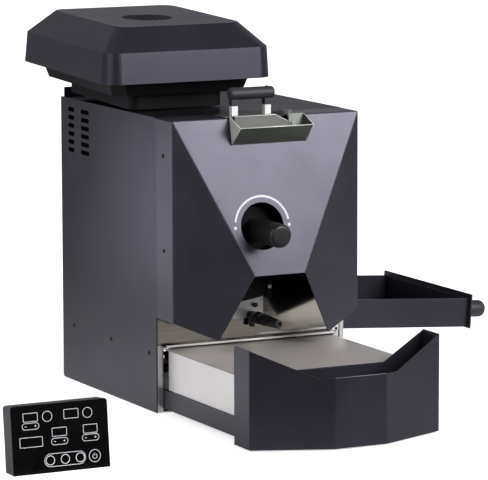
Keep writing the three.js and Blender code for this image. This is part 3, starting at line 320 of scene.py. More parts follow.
sheen = (0.8, 0.78, 1.0, 1.0)
charcoal = coat("charcoal_powder_coat", linear(31, 30, 36), 0.36, IOR=1.64, Specular_Tint=sheen)
flat_coat = coat("top_powder_coat", linear(22, 21, 27), 0.38, IOR=1.37)
dress(charcoal, 0.5, "side_panel_left", "side_panel_right", "back_panel")
dress(flat_coat, 0.5, "top_panel")


# Base plate: a tray of bare brushed steel with two upright posts at its front, folded from
# one sheet. Its drawn lines run one way, so tone and gloss are streaked along them.
steel_group, given, wanted = new_group(
    "drawn_lines",
    {"Colour": "Color", "Gloss": "Float", "Run": "Vector", "Contrast": "Float"},
    surface_sockets,
)
tree = steel_group
spot = place(tree, "TexCoord").outputs["Object"]
stretched = place(tree, "VectorMath", {0: spot, 1: given["Run"]}, operation="MULTIPLY")
lines = noise(tree, stretched.outputs["Vector"], 1.0, 5.0, 0.65)
smear = noise(tree, spot, 14.0, 3.0, 0.55)
centred = calculate(tree, "SUBTRACT", lines, 0.5)
streak = calculate(tree, "MULTIPLY_ADD", centred, given["Contrast"], 1.0)
hazed = calculate(tree, "MULTIPLY_ADD", smear, 0.16, -0.08)
lined = calculate(tree, "MULTIPLY_ADD", centred, 0.25, hazed)
dull = calculate(tree, "ADD", given["Gloss"], lined)
tree.links.new(scaled(tree, given["Colour"], streak), wanted["Colour"])
tree.links.new(dull, wanted["Roughness"])
tree.links.new(lines, wanted["Height"])


def steel(name, colour, gloss, run, contrast=0.35, relief=0.00003, metal=1.0, shine=0.5):
    """Bare steel with its drawing lines along the axis where run is smallest. Below one,
    metal leaves part of the sheet dull, as rolled or blasted stock is."""
    values = {"Colour": colour, "Gloss": gloss, "Run": run, "Contrast": contrast}
    return material_with(
        name, steel_group, values, relief, Metallic=metal, Specular_IOR_Level=shine
    )


brushed_up = steel("brushed_steel_upright", linear(214, 213, 210), 0.3, (900, 900, 14))
dress(brushed_up, 0.3, "base_plate")


# Front plate: polished sheet behind the mask, seen in its notch, where it mirrors the
# mask's teeth. Its lower edge is a lip folded forwards; the beads at its hem and its bend are near
# white, a painted highlight.
def bead(name, paths, radius, body, material, sides=10):
    """A round bead along each path of points, in millimetres. Its rings are circles
    across the path's heading, joined by quads and closed at both ends."""
    angle = np.linspace(0, 2 * np.pi, sides, endpoint=False)
    points, faces, first = [], [], 0
    for path in paths:
        path = np.asarray(path, float)
        heading = np.gradient(path, axis=0)
        heading /= np.linalg.norm(heading, axis=1)[:, None]
        across = np.cross(heading, (0.3, 0.2, 0.93))
        across /= np.linalg.norm(across, axis=1)[:, None]
        other = np.cross(heading, across)
        ring = np.cos(angle)[:, None] * across[:, None] + np.sin(angle)[:, None] * other[:, None]
        points.append((path[:, None] + radius * ring).reshape(-1, 3))
        row, column = np.meshgrid(np.arange(len(path) - 1), np.arange(sides), indexing="ij")
        after = (column + 1) % sides
        corners = [row * sides + column, row * sides + after]
        quads = np.stack([*corners, corners[1] + sides, corners[0] + sides], -1).reshape(-1, 4)
        ends = np.arange(sides)
        faces += (quads + first).tolist() + [(ends[::-1] + first).tolist()]
        faces.append((ends + first + (len(path) - 1) * sides).tolist())
        first += len(path) * sides
    made = surface_object(name, np.concatenate(points) * mm, faces, material)
    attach(made, body)
    return made


polished = steel("polished_steel", linear(104, 100, 95), 0.12, (5, 150, 150), 1.3, 0.00001)
# Near white and almost not metallic: a painted highlight, used on the lip's beads and one door
# bolt.
highlight_white_steel = steel("highlight_white_steel", linear(252, 248, 248), 0.3, (10, 500, 500), 0.1, metal=0.05)
dress(polished, 0.3, "front_plate")
lip_half, lip_out, lip_level, bend_level, hem_radius = 121.0, 6.2, 88.9, 94.5, 1.5
upper_hem = [(8, 1.5, bend_level), (46, -0.4, bend_level), (lip_half, -0.4, bend_level)]
lower_hem = [(-lip_half, -lip_out, lip_level), (lip_half, -lip_out, lip_level)]
bead("plate_lip_hem", [lower_hem, upper_hem], hem_radius, "cabinet", highlight_white_steel)


# Front mask: one blank of coated sheet, folded to two upright facets, a leaning centre
# facet and the flanges that slip over the cabinet; with a round hole for the damper.
def even_odd(points, loops):
    """For each 2D point, whether a line from it crosses the loops an odd number of times."""
    inside = np.zeros(len(points), bool)
    for loop in loops:
        start, end = loop, np.roll(loop, -1, axis=0)
        rise = end[:, 1] - start[:, 1]
        rise = np.where(rise == 0, 1e-12, rise)
        above = (start[None, :, 1] > points[:, None, 1]) != (end[None, :, 1] > points[:, None, 1])
        share = (points[:, None, 1] - start[None, :, 1]) / rise[None]
        cross = start[None, :, 0] + share * (end - start)[None, :, 0]
        inside ^= (above & (points[:, None, 0] < cross)).sum(1) % 2 == 1
    return inside


def cut_panel(outline, holes):
    """Triangles of one flat panel. The outline and holes are measured along the panel's
    own two directions, joined by a constrained triangulation, and put back in space."""
    outline = np.asarray(outline, float)
    along = outline[1] - outline[0]
    along /= np.linalg.norm(along)
    turns = np.cross(outline - outline[0], np.roll(outline, -1, axis=0) - outline[0])
    normal = turns.sum(0)
    normal /= np.linalg.norm(normal)
    across = np.cross(normal, along)
    loops = [np.asarray(loop, float) - outline[0] for loop in (outline, *holes)]
    loops = [np.stack([loop @ along, loop @ across], 1) for loop in loops]
    points = np.concatenate(loops)
    edges, first = [], 0
    for loop in loops:
        index = first + np.arange(len(loop))
        edges += np.stack([index, np.roll(index, -1)], 1).tolist()
        first += len(loop)
    flat, _, faces, *_ = delaunay_2d_cdt(points.tolist(), edges, [], 0, 1e-7)
    flat, faces = np.array([tuple(p) for p in flat]), np.array(faces)
    faces = faces[even_odd(flat[faces].mean(1), loops)]
    return outline[0] + flat[:, :1] * along + flat[:, 1:] * across, faces, normal


def folded(name, panels, material, within, fold, wall, trim=0.25):
    """A sheet part: flat panels joined along their shared edges, the folds rounded by
    fold and the sheet given its wall inwards, away from the side that faces out. within is
    a point inside the part, in millimetres as all the sizes here."""
    points, faces, first = [], [], 0
    for outline, *holes in panels:
        spread, triangles, normal = cut_panel(outline, holes)
        if normal @ (spread.mean(0) - within) < 0:
            triangles = triangles[:, ::-1]
        points.append(spread)
        faces.append(triangles + first)
        first += len(spread)
    points = np.round(np.concatenate(points), 4)
    merged, index = np.unique(points, axis=0, return_inverse=True)
    faces = index.reshape(-1)[np.concatenate(faces)]
    made = surface_object(name, merged * mm, faces, material)
    if fold:
        round_edges(made, "folds", fold, 4, 8)
    modify(made, "sheet", "SOLIDIFY", thickness=wall * mm, offset=-1, use_even_offset=True)
    round_edges(made, "cut_edges", trim, 2, 60)
    modify(made, "shade", "WEIGHTED_NORMAL", keep_sharp=False)
    return made


def rectangle(left, low, right, top):
    """The corner pairs of a rectangle, in order."""
    return [(left, low), (right, low), (right, top), (left, top)]


side, roof, sheet = 132.5, 382.6, 1.5
mask_flange, mask_depth, mask_half, mask_heel = 49.7, 38.2, 35.9, 184.9
mask_lean = mask_depth / (roof - mask_heel)
mask_run = mask_depth / (side - mask_half)


def mask_point(x, z):
    """A point of the mask's face: the nearer of its upright and its leaning facet."""
    out = np.minimum(mask_run * (side - np.abs(x)), mask_lean * (roof - z))
    return np.stack([x, -mask_flange - out, z], -1)


def mask_points(pairs):
    """Points of the mask's face from pairs of x and z."""
    return mask_point(*np.array(pairs, float).T)


turn = np.linspace(0, 2 * np.pi, 96, endpoint=False)
damper_x, hole_z, hole_radius = -19.2, 246.5, 30.25
facet_drop = 1 / math.hypot(1, mask_lean)
hole = mask_point(
    damper_x + hole_radius * np.cos(turn), hole_z + hole_radius * facet_drop * np.sin(turn)
)
inlet_left, inlet_right, inlet_bottom, inlet_back = -47.3, 31.3, 355.5, -46.0
facet = mask_points([
    (-side, roof),
    (-mask_half, mask_heel),
    (mask_half, mask_heel),
    (side, roof),
    (inlet_right, roof),
    (inlet_right, inlet_bottom),
    (inlet_left, inlet_bottom),
    (inlet_left, roof),
])
mask_side, seam = 126.5, 1.1
tooth = (78.3, 102.8)
mask_panels = [[facet, hole]]
upright = [(side, roof), (side, mask_side), tooth, (mask_half, mask_heel)]
flange = [(-mask_flange, roof), (-mask_flange, mask_side), (-seam, mask_side), (-seam, roof)]
for sign in (-1, 1):
    mask_panels.append([mask_points([(sign * x, z) for x, z in upright])])
    mask_panels.append([[(sign * side, y, z) for y, z in flange]])
mask_top = [
    (-side, -mask_flange),
    (inlet_left, -mask_flange),
    (inlet_left, inlet_back),
    (inlet_right, inlet_back),
    (inlet_right, -mask_flange),
    (side, -mask_flange),
    (side, -seam),
    (-side, -seam),
]
mask_panels.append([[(x, y, roof) for x, y in mask_top]])
sheen = (0.84, 0.82, 1.0, 1.0)
mask_coat = coat("mask_powder_coat", linear(37, 36, 43), 0.36, IOR=1.75, Specular_Tint=sheen)
mask = folded("mask_sheet", mask_panels, mask_coat, (0, 60, 250), fold=1.6, wall=sheet)
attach(mask, "cabinet")
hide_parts("front_mask")


# Front edges of the side panels: where the panel meets the mask's flange, its sheared edge
# is rounded over, and a pale bead along it is a painted highlight of the light the edge catches.
# A pale copy of the coat; on the panels' front edges it is a painted highlight.
pale_edge_coat = coat("pale_edge_powder_coat", linear(128, 126, 140), 0.4, edge_highlight_share=0.0, relief=0.00004)
edge_low, edge_high, edge_radius = mask_side + 1.5, roof - 2.0, 0.5
panel_edges = [[(end * (side - 0.05), 0.1, z) for z in (edge_low, edge_high)] for end in (-1, 1)]
bead("panel_front_edges", panel_edges, edge_radius, "cabinet", pale_edge_coat)


# Damper scale on the mask: a printed pale arc over the hole with a dot at either end.
# The film lies a little proud of the coat, and is as thin as a print can be modelled.
def ribbon(path, width, normal, closed=False, lift=0.06):
    """A flat printed line: the path's points moved half the width to either side, across
    both the path and the normal, then raised along the normal. Sizes in millimetres."""
    path, normal = np.asarray(path, float), np.asarray(normal, float)
    heading = np.roll(path, -1, axis=0) - np.roll(path, 1, axis=0)
    if not closed:
        heading[0], heading[-1] = path[1] - path[0], path[-1] - path[-2]
    across = np.cross(heading, normal)
    across *= width / 2 / np.linalg.norm(across, axis=1)[:, None]
    points = np.concatenate([path - across, path + across]) + normal * lift
    count = len(path)
    row = np.arange(count if closed else count - 1)
    after = (row + 1) % count
    return points, np.stack([row, row + count, after + count, after], 1)


def disc(centre, radius, across, up, normal, lift=0.06, sides=24):
    """A filled round spot: a ring of points and their centre, joined by triangles."""
    angle = np.linspace(0, 2 * np.pi, sides, endpoint=False)[:, None]
    ring = centre + radius * (np.cos(angle) * across + np.sin(angle) * up)
    points = np.concatenate([ring, [centre]]) + np.asarray(normal) * lift
    index = np.arange(sides)
    return points, np.stack([index, (index + 1) % sides, np.full(sides, sides)], 1)


def printed(name, strips, material, thickness=0.05):
    """Ribbons and discs joined in one print of that thickness, in millimetres."""
    points, faces, first = [], [], 0
    for spread, quads in strips:
        points.append(spread)
        faces += (quads + first).tolist()
        first += len(spread)
    made = surface_object(name, np.concatenate(points) * mm, faces, material, smooth=False)
    modify(made, "film", "SOLIDIFY", thickness=thickness * mm, offset=1)
    return made


pale_print = coat("pale_print", linear(236, 236, 240), 0.55, 2200.0, 0.0, 0.00001)
facet_across = np.array([1, 0, 0])
facet_up = np.array([0, mask_lean, 1]) * facet_drop
facet_out = np.array([0, -1, mask_lean]) * facet_drop
scale_centre = mask_point(np.array(damper_x), np.array(hole_z))
scale_radius, scale_width, dot_radius = 38.0, 2.7, 2.1


def on_scale(degrees):
    """Points of the scale's circle, anticlockwise from the right."""
    bearing = np.radians(degrees)[..., None]
    around = np.cos(bearing) * facet_across + np.sin(bearing) * facet_up
    return scale_centre + scale_radius * around


strips = [ribbon(on_scale(np.linspace(169.5, 10, 64)), scale_width, facet_out)]
for degrees in (180.6, -0.4):
    strips.append(disc(on_scale(degrees), dot_radius, facet_across, facet_up, facet_out))
scale = printed("damper_scale", strips, pale_print)
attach(scale, "cabinet")


# Hopper: a small trough of brushed sheet, welded at its corners, with a folded pair of
# walls as its divider and a chute below it. Its rims are ground bright after welding.
hopper_steel = steel("hopper_steel", linear(96, 101, 93), 0.42, (12, 300, 300), 1.2, metal=0.6)
divider_steel = steel("divider_steel", linear(150, 158, 150), 0.5, (300, 300, 12), 0.9, metal=0.2)
chute_steel = steel("chute_steel", linear(190, 190, 186), 0.5, (500, 500, 20), 0.3, metal=0.3)
bright_edge = steel("ground_edge", linear(232, 236, 230), 0.45, (90, 90, 90), 0.3, metal=0.3)
dress(hopper_steel, 0.3, "hopper")
dress(divider_steel, 0.3, "hopper_divider")
dress(chute_steel, 0.3, "inlet_chute")
hopper_half = 52.5
hopper_mouth, hopper_rim, hopper_toe = (-50.6, 384.5), (-80.0, 372.3), (-57.8, 349.5)
hopper_profile = (hopper_mouth, hopper_rim, hopper_toe)
rim_lines = [[(-hopper_half, *hopper_rim), (hopper_half, *hopper_rim)]]
rim_lines += [[(end * (hopper_half - 0.4), *pair) for pair in hopper_profile] for end in (-1, 1)]
bead("hopper_ground_rims", rim_lines, 0.65, "cabinet", bright_edge)


# Hopper cheeks: the trough's two ends, thin triangles of sheet set on the outside and
# ground upright. They are painted paler than its front: painted light for ends that catch more
# light.
pale_lit_cheek_steel = steel("pale_lit_cheek_steel", linear(205, 206, 198), 0.5, (300, 14, 60), 0.8, metal=0.2)
for number, end in enumerate((-1, 1)):
    cheek_panel = [[(end * (hopper_half + 0.55), *pair) for pair in hopper_profile]]
    cheek = folded(
        f"hopper_cheek_{number}", [cheek_panel], pale_lit_cheek_steel, (0, -60, 365), 0, wall=0.4, trim=0.1
    )
    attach(cheek, "cabinet")


# Feed flap: a bent leaf of bright steel that closes the mouth and rocks on its bend. Two
# polished legs are welded to it and carry the grip; their steel is near white and only partly
# metallic, a painted highlight.
leaf_steel = steel("leaf_steel", linear(88, 90, 85), 0.5, (10, 260, 260), 1.5, metal=0.35)
# Near white and part matt: painted highlight on the legs, and the same pale steel on the drawer
# stop.
leg_steel = steel("leg_steel", linear(240, 240, 240), 0.5, (600, 600, 12), 0.15, metal=0.4)
dress(leaf_steel, 0.3, "feed_flap")
dress(leg_steel, 0.3, "flap_leg_left", "flap_leg_right")
leaf_out = mask_flange + 2.1
leaf_edge = [(-46.0, 384.2), (11.5, 384.2), (29.4, 375.2)]
leaf_line = [(x, -leaf_out - mask_lean * (roof - z), z) for x, z in leaf_edge]
bead("flap_ground_edge", [leaf_line], 0.6, "feed_flap", bright_edge)


# Flap grip: a round bar, turned from plastic with a soft black coat and rounded at its
# ends, screwed across the tops of the two legs.
def turned(name, profile, centre, axis, material, sides=64):
    """A turned part: each profile pair is a radius and a distance along the axis, and the
    ring there is the centre plus distance times axis plus radius times a circle's points.
    The first and last radius are zero, where a single point closes the end."""
    radius, distance = np.array(profile, float).T
    axis = np.asarray(axis, float) / np.linalg.norm(axis)
    first = np.cross(axis, (0, 0, 1) if abs(axis[2]) < 0.9 else (1, 0, 0))
    first /= np.linalg.norm(first)
    second = np.cross(axis, first)
    angle = np.linspace(0, 2 * np.pi, sides, endpoint=False)
    circle = np.cos(angle)[:, None] * first + np.sin(angle)[:, None] * second
    rings = radius[1:-1, None, None] * circle + (distance[1:-1, None] * axis)[:, None]
    ends = distance[[0, -1], None] * axis
    points = np.concatenate([rings.reshape(-1, 3), ends]) + centre
    count = len(radius) - 2
    row, column = np.meshgrid(np.arange(count - 1), np.arange(sides), indexing="ij")
    here, beside = row * sides + column, row * sides + (column + 1) % sides
    quads = np.stack([here, beside, beside + sides, here + sides], -1).reshape(-1, 4)
    column = np.arange(sides)
    after = (column + 1) % sides
    low, high, last = count * sides, count * sides + 1, (count - 1) * sides
    start = np.stack([after, column, np.full(sides, low)], 1)
    finish = np.stack([last + column, last + after, np.full(sides, high)], 1)
    faces = quads.tolist() + start.tolist() + finish.tolist()
    return surface_object(name, points * mm, faces, material)


def rounded_end(radius, at, round_by, towards, steps=6):
    """Profile pairs of a rounded rim: a quarter circle from the side to the end face."""
    angle = np.linspace(0, np.pi / 2, steps + 1)
    return np.stack(
        [radius - round_by * (1 - np.cos(angle)), at - towards * round_by * (1 - np.sin(angle))], 1
    ).tolist()


soft_black = coat("soft_touch_black", linear(45, 45, 51), 0.5, 1100.0, 0.12, 0.00005)
grip_left, grip_length, grip_radius, grip_y, grip_z = -48.0, 62.5, 7.75, -40.0, 412.0
grip_profile = [(0, 0)]
grip_profile += rounded_end(grip_radius, 0, 2.5, -1)[::-1]
grip_profile += rounded_end(grip_radius, grip_length, 3.2, 1)
grip_profile.append((0, grip_length))
grip = turned("flap_grip_bar", grip_profile, (grip_left, grip_y, grip_z), (1, 0, 0), soft_black)
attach(grip, "feed_flap")
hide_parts("flap_grip")


# Grip sleeves: a short square collar of the same soft black, pushed up over each leg
# against the grip.
def walls_between(lower, upper):
    """Four-cornered panels that join each edge of one ring of points to the next ring's."""
    beside = np.roll(lower, -1, axis=0), np.roll(upper, -1, axis=0)
    return [[list(corners)] for corners in zip(lower, beside[0], beside[1], upper)]


leg_centres = (-41.5, 5.4)
sleeve_top, sleeve_low, sleeve_x, sleeve_y = 405.0, 396.8, 4.7, 4.4
for number, x in enumerate(leg_centres):
    corners = rectangle(x - sleeve_x, grip_y - sleeve_y, x + sleeve_x, grip_y + sleeve_y)
    rings = [[(*pair, z) for pair in corners] for z in (sleeve_low, sleeve_top)]
    sleeve = folded(
        f"grip_sleeve_{number}",
        walls_between(*rings),
        soft_black,
        (x, grip_y, 400),
        fold=0.3,
        wall=0.3,
        trim=0.1,
    )
    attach(sleeve, "feed_flap")


# Grip screws: a blackened button head with a hexagon socket, sunk in the grip over each
# leg. The roaster's other screws are of the same make.
black_screw = coat("blackened_screw", linear(40, 40, 43), 0.3, 900.0, 0.5, 0.00003, Metallic=0.6)


def screw_head(name, place_at, axis, radius, height, socket, body, material=black_screw):
    """A domed head turned about its axis, where socket is the radius of its well. The
    dome's height goes with the sine, and its radius with the cosine, of one angle."""
    angle = np.linspace(0, np.pi / 2, 7)
    dome = [(radius * math.cos(a), height * (0.25 + 0.75 * math.sin(a))) for a in angle[:-2]]
    well = [(socket * 1.12, height), (socket, height * 0.9), (socket * 0.94, height * 0.35)]
    profile = [(0, 0), (radius * 0.99, 0), *dome, *well, (0, height * 0.3)]
    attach(turned(name, profile, place_at, axis, material, 24), body)


for number, x in enumerate(leg_centres):
    crown = (x, grip_y, grip_z + grip_radius - 0.2)
    screw_head(f"grip_screw_{number}", crown, (0, 0, 1), 2.4, 0.95, 1.1, "feed_flap")


# Damper: a steel disc on a shaft, a fixed black boss round the shaft, and the knob on its
# end, turned from black plastic with a neck, a shoulder and a rounded nose.
moulded_black = coat("moulded_black", linear(22, 22, 24), 0.42, 1000.0, 0.2, 0.00004)
black_coat = coat("black_powder_coat", linear(11, 11, 14), 0.55, edge_highlight_share=0.35, IOR=1.24)
plain_steel = steel("plain_steel", linear(150, 150, 148), 0.36, (60, 500, 500), 0.3)
dress(plain_steel, 0.3, "damper_disc")
dress(black_coat, 0.5, "damper_boss")
damper_z, knob_back, knob_nose, knob_radius = 240.0, 52.3, 129.0, 15.2
knob_neck = knob_radius - 1.2
knob_profile = [(0, knob_back), (knob_neck - 0.8, knob_back), (knob_neck, knob_back + 2)]
knob_profile += [(knob_neck, knob_back + 12), (knob_radius, knob_back + 15)]
knob_profile += rounded_end(knob_radius, knob_nose, 5.0, 1, 8)
knob_profile.append((0, knob_nose))
knob_axis = (damper_x, 0, damper_z), (0, -1, 0)
knob = turned("damper_knob_turned", knob_profile, *knob_axis, moulded_black, sides=96)
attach(knob, "damper")
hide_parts("damper_knob")


# Discharge door: a plain steel leaf over the drum's outlet, behind the notch of the mask.
# It swings on a pin hinge and is held shut by a coated catch.
dress(plain_steel, 0.3, "door_hinge", "discharge_door")
dress(black_coat, 0.5, "door_catch")


# Inside the cabinet: the drum on its shaft with the heater and probe beside it, in a
# housing of dark sheet between the front plate and a bulkhead; its motor and the slides.
dark_steel = steel("dark_steel", linear(70, 68, 66), 0.5, (60, 500, 500), 0.3, metal=0.6)
dress(plain_steel, 0.0, "temperature_probe", "drum", "drum_shaft", "motor_pulley", "heater_element")
dress(dark_steel, 0.0, "rear_bulkhead", "drum_housing", "exhaust_duct")
dress(dark_steel, 0.0, "drawer_runners", "tray_guides")
dress(moulded_black, 0.0, "drum_motor")


# Door grip: a tapered handle of black plastic turned with a collar, waists and a head,
# with a socket in its end for the bolt that holds it.
door_grip_z, door_grip_end, door_grip_radius = 120.0, 84.0, 5.6
door_profile = [(0, 7.5), (4.5, 7.5), (4.5, 20), (6.6, 20.4), (7.6, 21.6), (8, 24), (8, 31)]
door_profile += [(7, 32), (7, 35), (7.6, 36), (7.4, 52), (6.6, 53), (6.5, 56), (6.9, 57)]
door_profile += [(6.0, 76), (5.2, 77), (5.2, 78.5)]
door_profile += rounded_end(door_grip_radius, door_grip_end, 1.8, 1, 5)
door_profile += [(3.3, door_grip_end), (2.9, door_grip_end - 0.5), (2.7, door_grip_end - 3.5)]
door_profile += [(0, door_grip_end - 3.5)]
grip_axis = (0, 0, door_grip_z), (0, -1, 0)
door_grip = turned("door_grip_turned", door_profile, *grip_axis, moulded_black, sides=48)
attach(door_grip, "discharge_door")
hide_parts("door_grip")


# Door lever: a short upright round bar of black plastic that joins the grip's root to
# the face of the door.
lever_line = [(0, -8.2, z) for z in np.linspace(106.5, 126, 8)]
lever = bead("door_lever_bar", [lever_line], 3.6, "discharge_door", moulded_black, 24)
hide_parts("door_lever")


# Door guard: a coated plate on the door above its grip. Its lower edge rises to the
# right in a slow curve, and its top is hidden behind the mask.
guard_left, guard_width, guard_low, guard_rise, guard_top, guard_out = -51, 76, 138.5, 9, 191.5, 9.6
guard_outline = [
    (guard_left + t * guard_width, -guard_out, guard_low + guard_rise * t**2.2)
    for t in np.linspace(0, 1, 16)
]
guard_outline += [(guard_left + t * guard_width, -guard_out, guard_top) for t in (1, 0.9, 0.1, 0)]
guard = folded(
    "door_guard", [[guard_outline]], black_coat, (0, 60, 160), fold=0, wall=1.2, trim=0.3
)
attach(guard, "discharge_door")


# Door bolts: a blackened one beside the lever on the door, and one over the pin of the
# catch in near-white steel, a painted highlight.
screw_head("door_bolt_0", (5.2, -8.2, 133.8), (0, -1, 0), 3.2, 2.0, 1.2, "discharge_door")
screw_head("door_bolt_1", (22.7, -14.2, 158.0), (0, -1, 0), 2.7, 2.0, 1.2, "cabinet", highlight_white_steel)


# Hood shell: a chamfered pan of coated sheet with rounded corners, which stands slightly
# tipped on its neck. A round hole in its top holds the grille.
hood_place, hood_tip = np.array([-65.4, 172.2, roof]), math.radians(2.06)


def in_hood(points):
    """Points of the hood's own tipped frame: turned about X by the tip, then moved."""
    x, y, z = np.asarray(points, float).T
    turned_y = y * math.cos(hood_tip) - z * math.sin(hood_tip)
    turned_z = y * math.sin(hood_tip) + z * math.cos(hood_tip)
    return np.stack([x, turned_y, turned_z], 1) + hood_place


def rounded_rim(height, half_x, half_y, radius, steps=15):
    """A rectangle whose corners are quarter circles, anticlockwise from above. Every rim
    turns by the same angles, so that the strips between two rims are flat."""
    angle = np.linspace(0, np.pi / 2, steps)[:, None]
    arc = (half_x - radius, half_y - radius) + radius * np.hstack([np.cos(angle), np.sin(angle)])
    upper = np.concatenate([arc, arc[::-1] * (-1, 1)])
    plan = np.concatenate([upper, -upper])
    return in_hood(np.column_stack([plan, np.full(len(plan), height)]))


hood_top = 114.2
hood_rims = [
    rounded_rim(44.9, 118.7, 139.8, 22.0),
    rounded_rim(84.5, 115.7, 136.8, 19.0),
    rounded_rim(hood_top, 87.0, 108.1, 18.0),
]
grille_x, grille_y, grille_hole = -7.0, -18.0, 33.0
grille_rim = in_hood(np.column_stack([
    grille_x + grille_hole * np.cos(turn),
    grille_y + grille_hole * np.sin(turn),
    np.full(len(turn), hood_top),
]))
hood_panels = [[hood_rims[2], grille_rim]]
hood_panels += walls_between(*hood_rims[:2]) + walls_between(*hood_rims[1:])
hood_middle = in_hood([(0, 0, 60)])[0]
hood = folded("hood_sheet", hood_panels, charcoal, hood_middle, fold=2.2, wall=2.0)
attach(hood, "hood")
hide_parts("hood_shell")


# Hood skirt: an upright band of black sheet spot welded under the hood's pan, set in from
# its edge. Pan, neck and grille are coated like it, and the fan within is moulded.
skirt_walls = walls_between(*(rounded_rim(height, 66.0, 98.0, 12.0) for height in (5.5, 27.0)))
skirt_middle = in_hood([(0, 0, 16)])[0]
skirt = folded("hood_lower_skirt", skirt_walls, black_coat, skirt_middle, fold=0, wall=1.2)
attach(skirt, "hood")
dress(black_coat, 0.4, "hood_base", "hood_neck", "hood_grille")
dress(moulded_black, 0.0, "fan_impeller", "fan_motor")


# Hood and cover screws: two stand in the hood's top in front of its grille, and five on
# each side hold the side panel and the mask's flange.
for number, (x, y) in enumerate(((-27.1, -67.7), (22.5, -62.2))):
    base, tip = in_hood([(x, y, hood_top - 1.2), (x, y, hood_top - 0.2)])
    screw_head(f"hood_screw_{number}", base, tip - base, 3.0, 1.2, 1.3, "hood")
cover_screws = [(22.0, 77.6), (138.6, 77.6), (257.3, 78.0), (-23.2, 336.4), (-24.5, 215.7)]
for number, (end, y, z) in enumerate((end, y, z) for end in (-1, 1) for y, z in cover_screws):
    seat = (end * (side - 0.1), y, z)
    screw_head(f"cover_screw_{number}", seat, (end, 0, 0), 2.9, 1.3, 1.3, "cabinet")


# Cooling drawer: a box of brushed steel with a dull rolled deck, on a coated base and
# behind a coated back plate.
brushed_across = steel(
    "brushed_steel_across", linear(244, 240, 238), 0.4, (14, 900, 900), 0.25, metal=0.85
)
deck_steel = steel(
    "deck_steel", linear(182, 175, 171), 0.42, (12, 700, 700), 0.15, metal=0.2, shine=0.15
)
dress(brushed_across, 0.3, "drawer_box")
dress(deck_steel, 0.3, "drawer_deck")
dress(charcoal, 0.5, "drawer_base", "drawer_back_plate")


# Drawer stop: a small bright plate at the top of the right post, with one black screw in
# its lower corner, which keeps the drawer from running out.
stop_out, stop_wall = -1.1, 0.9
stop_panel = [[(x, stop_out, z) for x, z in rectangle(117.5, 90.4, 130.4, 113.0)]]
stop = folded("drawer_stop_plate", [stop_panel], leg_steel, (0, 60, 100), 0, stop_wall, trim=0.3)
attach(stop, "cabinet")
screw_head("stop_screw", (126.8, stop_out, 92.6), (0, -1, 0), 1.9, 0.8, 0.9, "cabinet")


# Slide covers: an angle of sheet inside each post that hides the drawer's runners, with
# one leg across their ends and one along them. It is coated black as painted shade, so that the gap
# beside the drawer reads dark.
rail_in, rail_out, rail_front, rail_back, rail_low, rail_top = 120.6, 130.4, 3.0, 200.0, 34.0, 85.6
for number, end in enumerate((-1, 1)):
    across = [(end * x, rail_front, z) for x, z in rectangle(rail_in, rail_low, rail_out, rail_top)]
    along = [(end * rail_in, y, z) for y, z in rectangle(rail_front, rail_low, rail_back, rail_top)]
    within = (end * 126, 60, 60)
    rail = folded(f"slide_cover_{number}", [[across], [along]], black_coat, within, 0.5, wall=0.8)
    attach(rail, "cabinet")


# Drawer front: coated sheet folded to a centre facet, two slanting ones, flanges and a
# floor. Its top is cut down to a wide notch, over which the cooled beans are poured.
front_out, front_flange, front_depth, front_half = 222.0, 40.0, 40.0, 35.6
front_top, front_bottom, notch_half, notch_height = 124.8, 2.0, 55.0, 89.6
front_nose = front_out + front_flange + front_depth
front_side = front_nose - front_depth
front_run = front_depth / (side - front_half)


def front_point(x, z):
    """A point of a slanting facet of the drawer's front."""
    return (x, -front_nose + front_run * (abs(x) - front_half), z)


centre = rectangle(-front_half, front_bottom, front_half, notch_height)
flange = rectangle(-front_side, front_bottom, -front_out, front_top)
slant = [(front_half, front_bottom), (side, front_bottom), (side, front_top)]
slant += [(notch_half, notch_height), (front_half, notch_height)]
front_panels = [[[(x, -front_nose, z) for x, z in centre]]]
for sign in (-1, 1):
    front_panels.append([[front_point(sign * x, z) for x, z in slant]])
    front_panels.append([[(sign * side, y, z) for y, z in flange]])
front_floor = [(-side, -front_out), (side, -front_out), (side, -front_side)]
front_floor += [(front_half, -front_nose), (-front_half, -front_nose), (-side, -front_side)]
front_panels.append([[(x, y, front_bottom) for x, y in front_floor]])
drawer_front = folded(
    "drawer_front_sheet", front_panels, charcoal, (0, -240, 60), fold=1.6, wall=sheet
)
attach(drawer_front, "drawer")
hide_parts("drawer_front")


# Notch rim: the sheet's upper edge on the centre facet, rolled over to a small bead in
# the same pale coat as the side panels' front edges.
rim_y, rim_z = -front_nose + 0.75, notch_height + 0.05
rim_line = [(-front_half + 1, rim_y, rim_z), (front_half - 1, rim_y, rim_z)]
bead("notch_rim", [rim_line], 0.5, "drawer", pale_edge_coat)


# Chaff tray: a shallow coated pan on a slight slope with a larger end plate. It slides
# out of the right panel through a mouth framed in bare steel.
dress(charcoal, 0.4, "chaff_tray", "tray_end_plate")
dress(brushed_up, 0.3, "tray_mouth")


# Tray knob: a bullet of soft black plastic on a narrow neck, screwed to the end plate and
# tilted with the tray.
tray_tilt, tray_end = math.radians(3.8), np.array([339.0, 0, 113.0])
tray_out = np.array([math.cos(tray_tilt), 0, -math.sin(tray_tilt)])
tray_up = np.array([math.sin(tray_tilt), 0, math.cos(tray_tilt)])
plate_wall, knob_drop, knob_y = 2.6, 18, 48
knob_base = tray_end + tray_out * plate_wall - tray_up * knob_drop + np.array([0, knob_y, 0])
bullet = [(0, 0), (7, 0), (7, 3), (7.4, 6), (9.6, 10), (10.9, 15), (11.4, 24), (11.3, 30)]
nose = np.radians((15, 30, 45, 60, 75, 86))
bullet += [(11.3 * math.cos(a), 30 + 9 * math.sin(a)) for a in nose]
bullet.append((0, 39))
tray_knob = turned("tray_knob_turned", bullet, knob_base, tray_out, soft_black)
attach(tray_knob, "chaff_tray")
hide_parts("tray_knob")


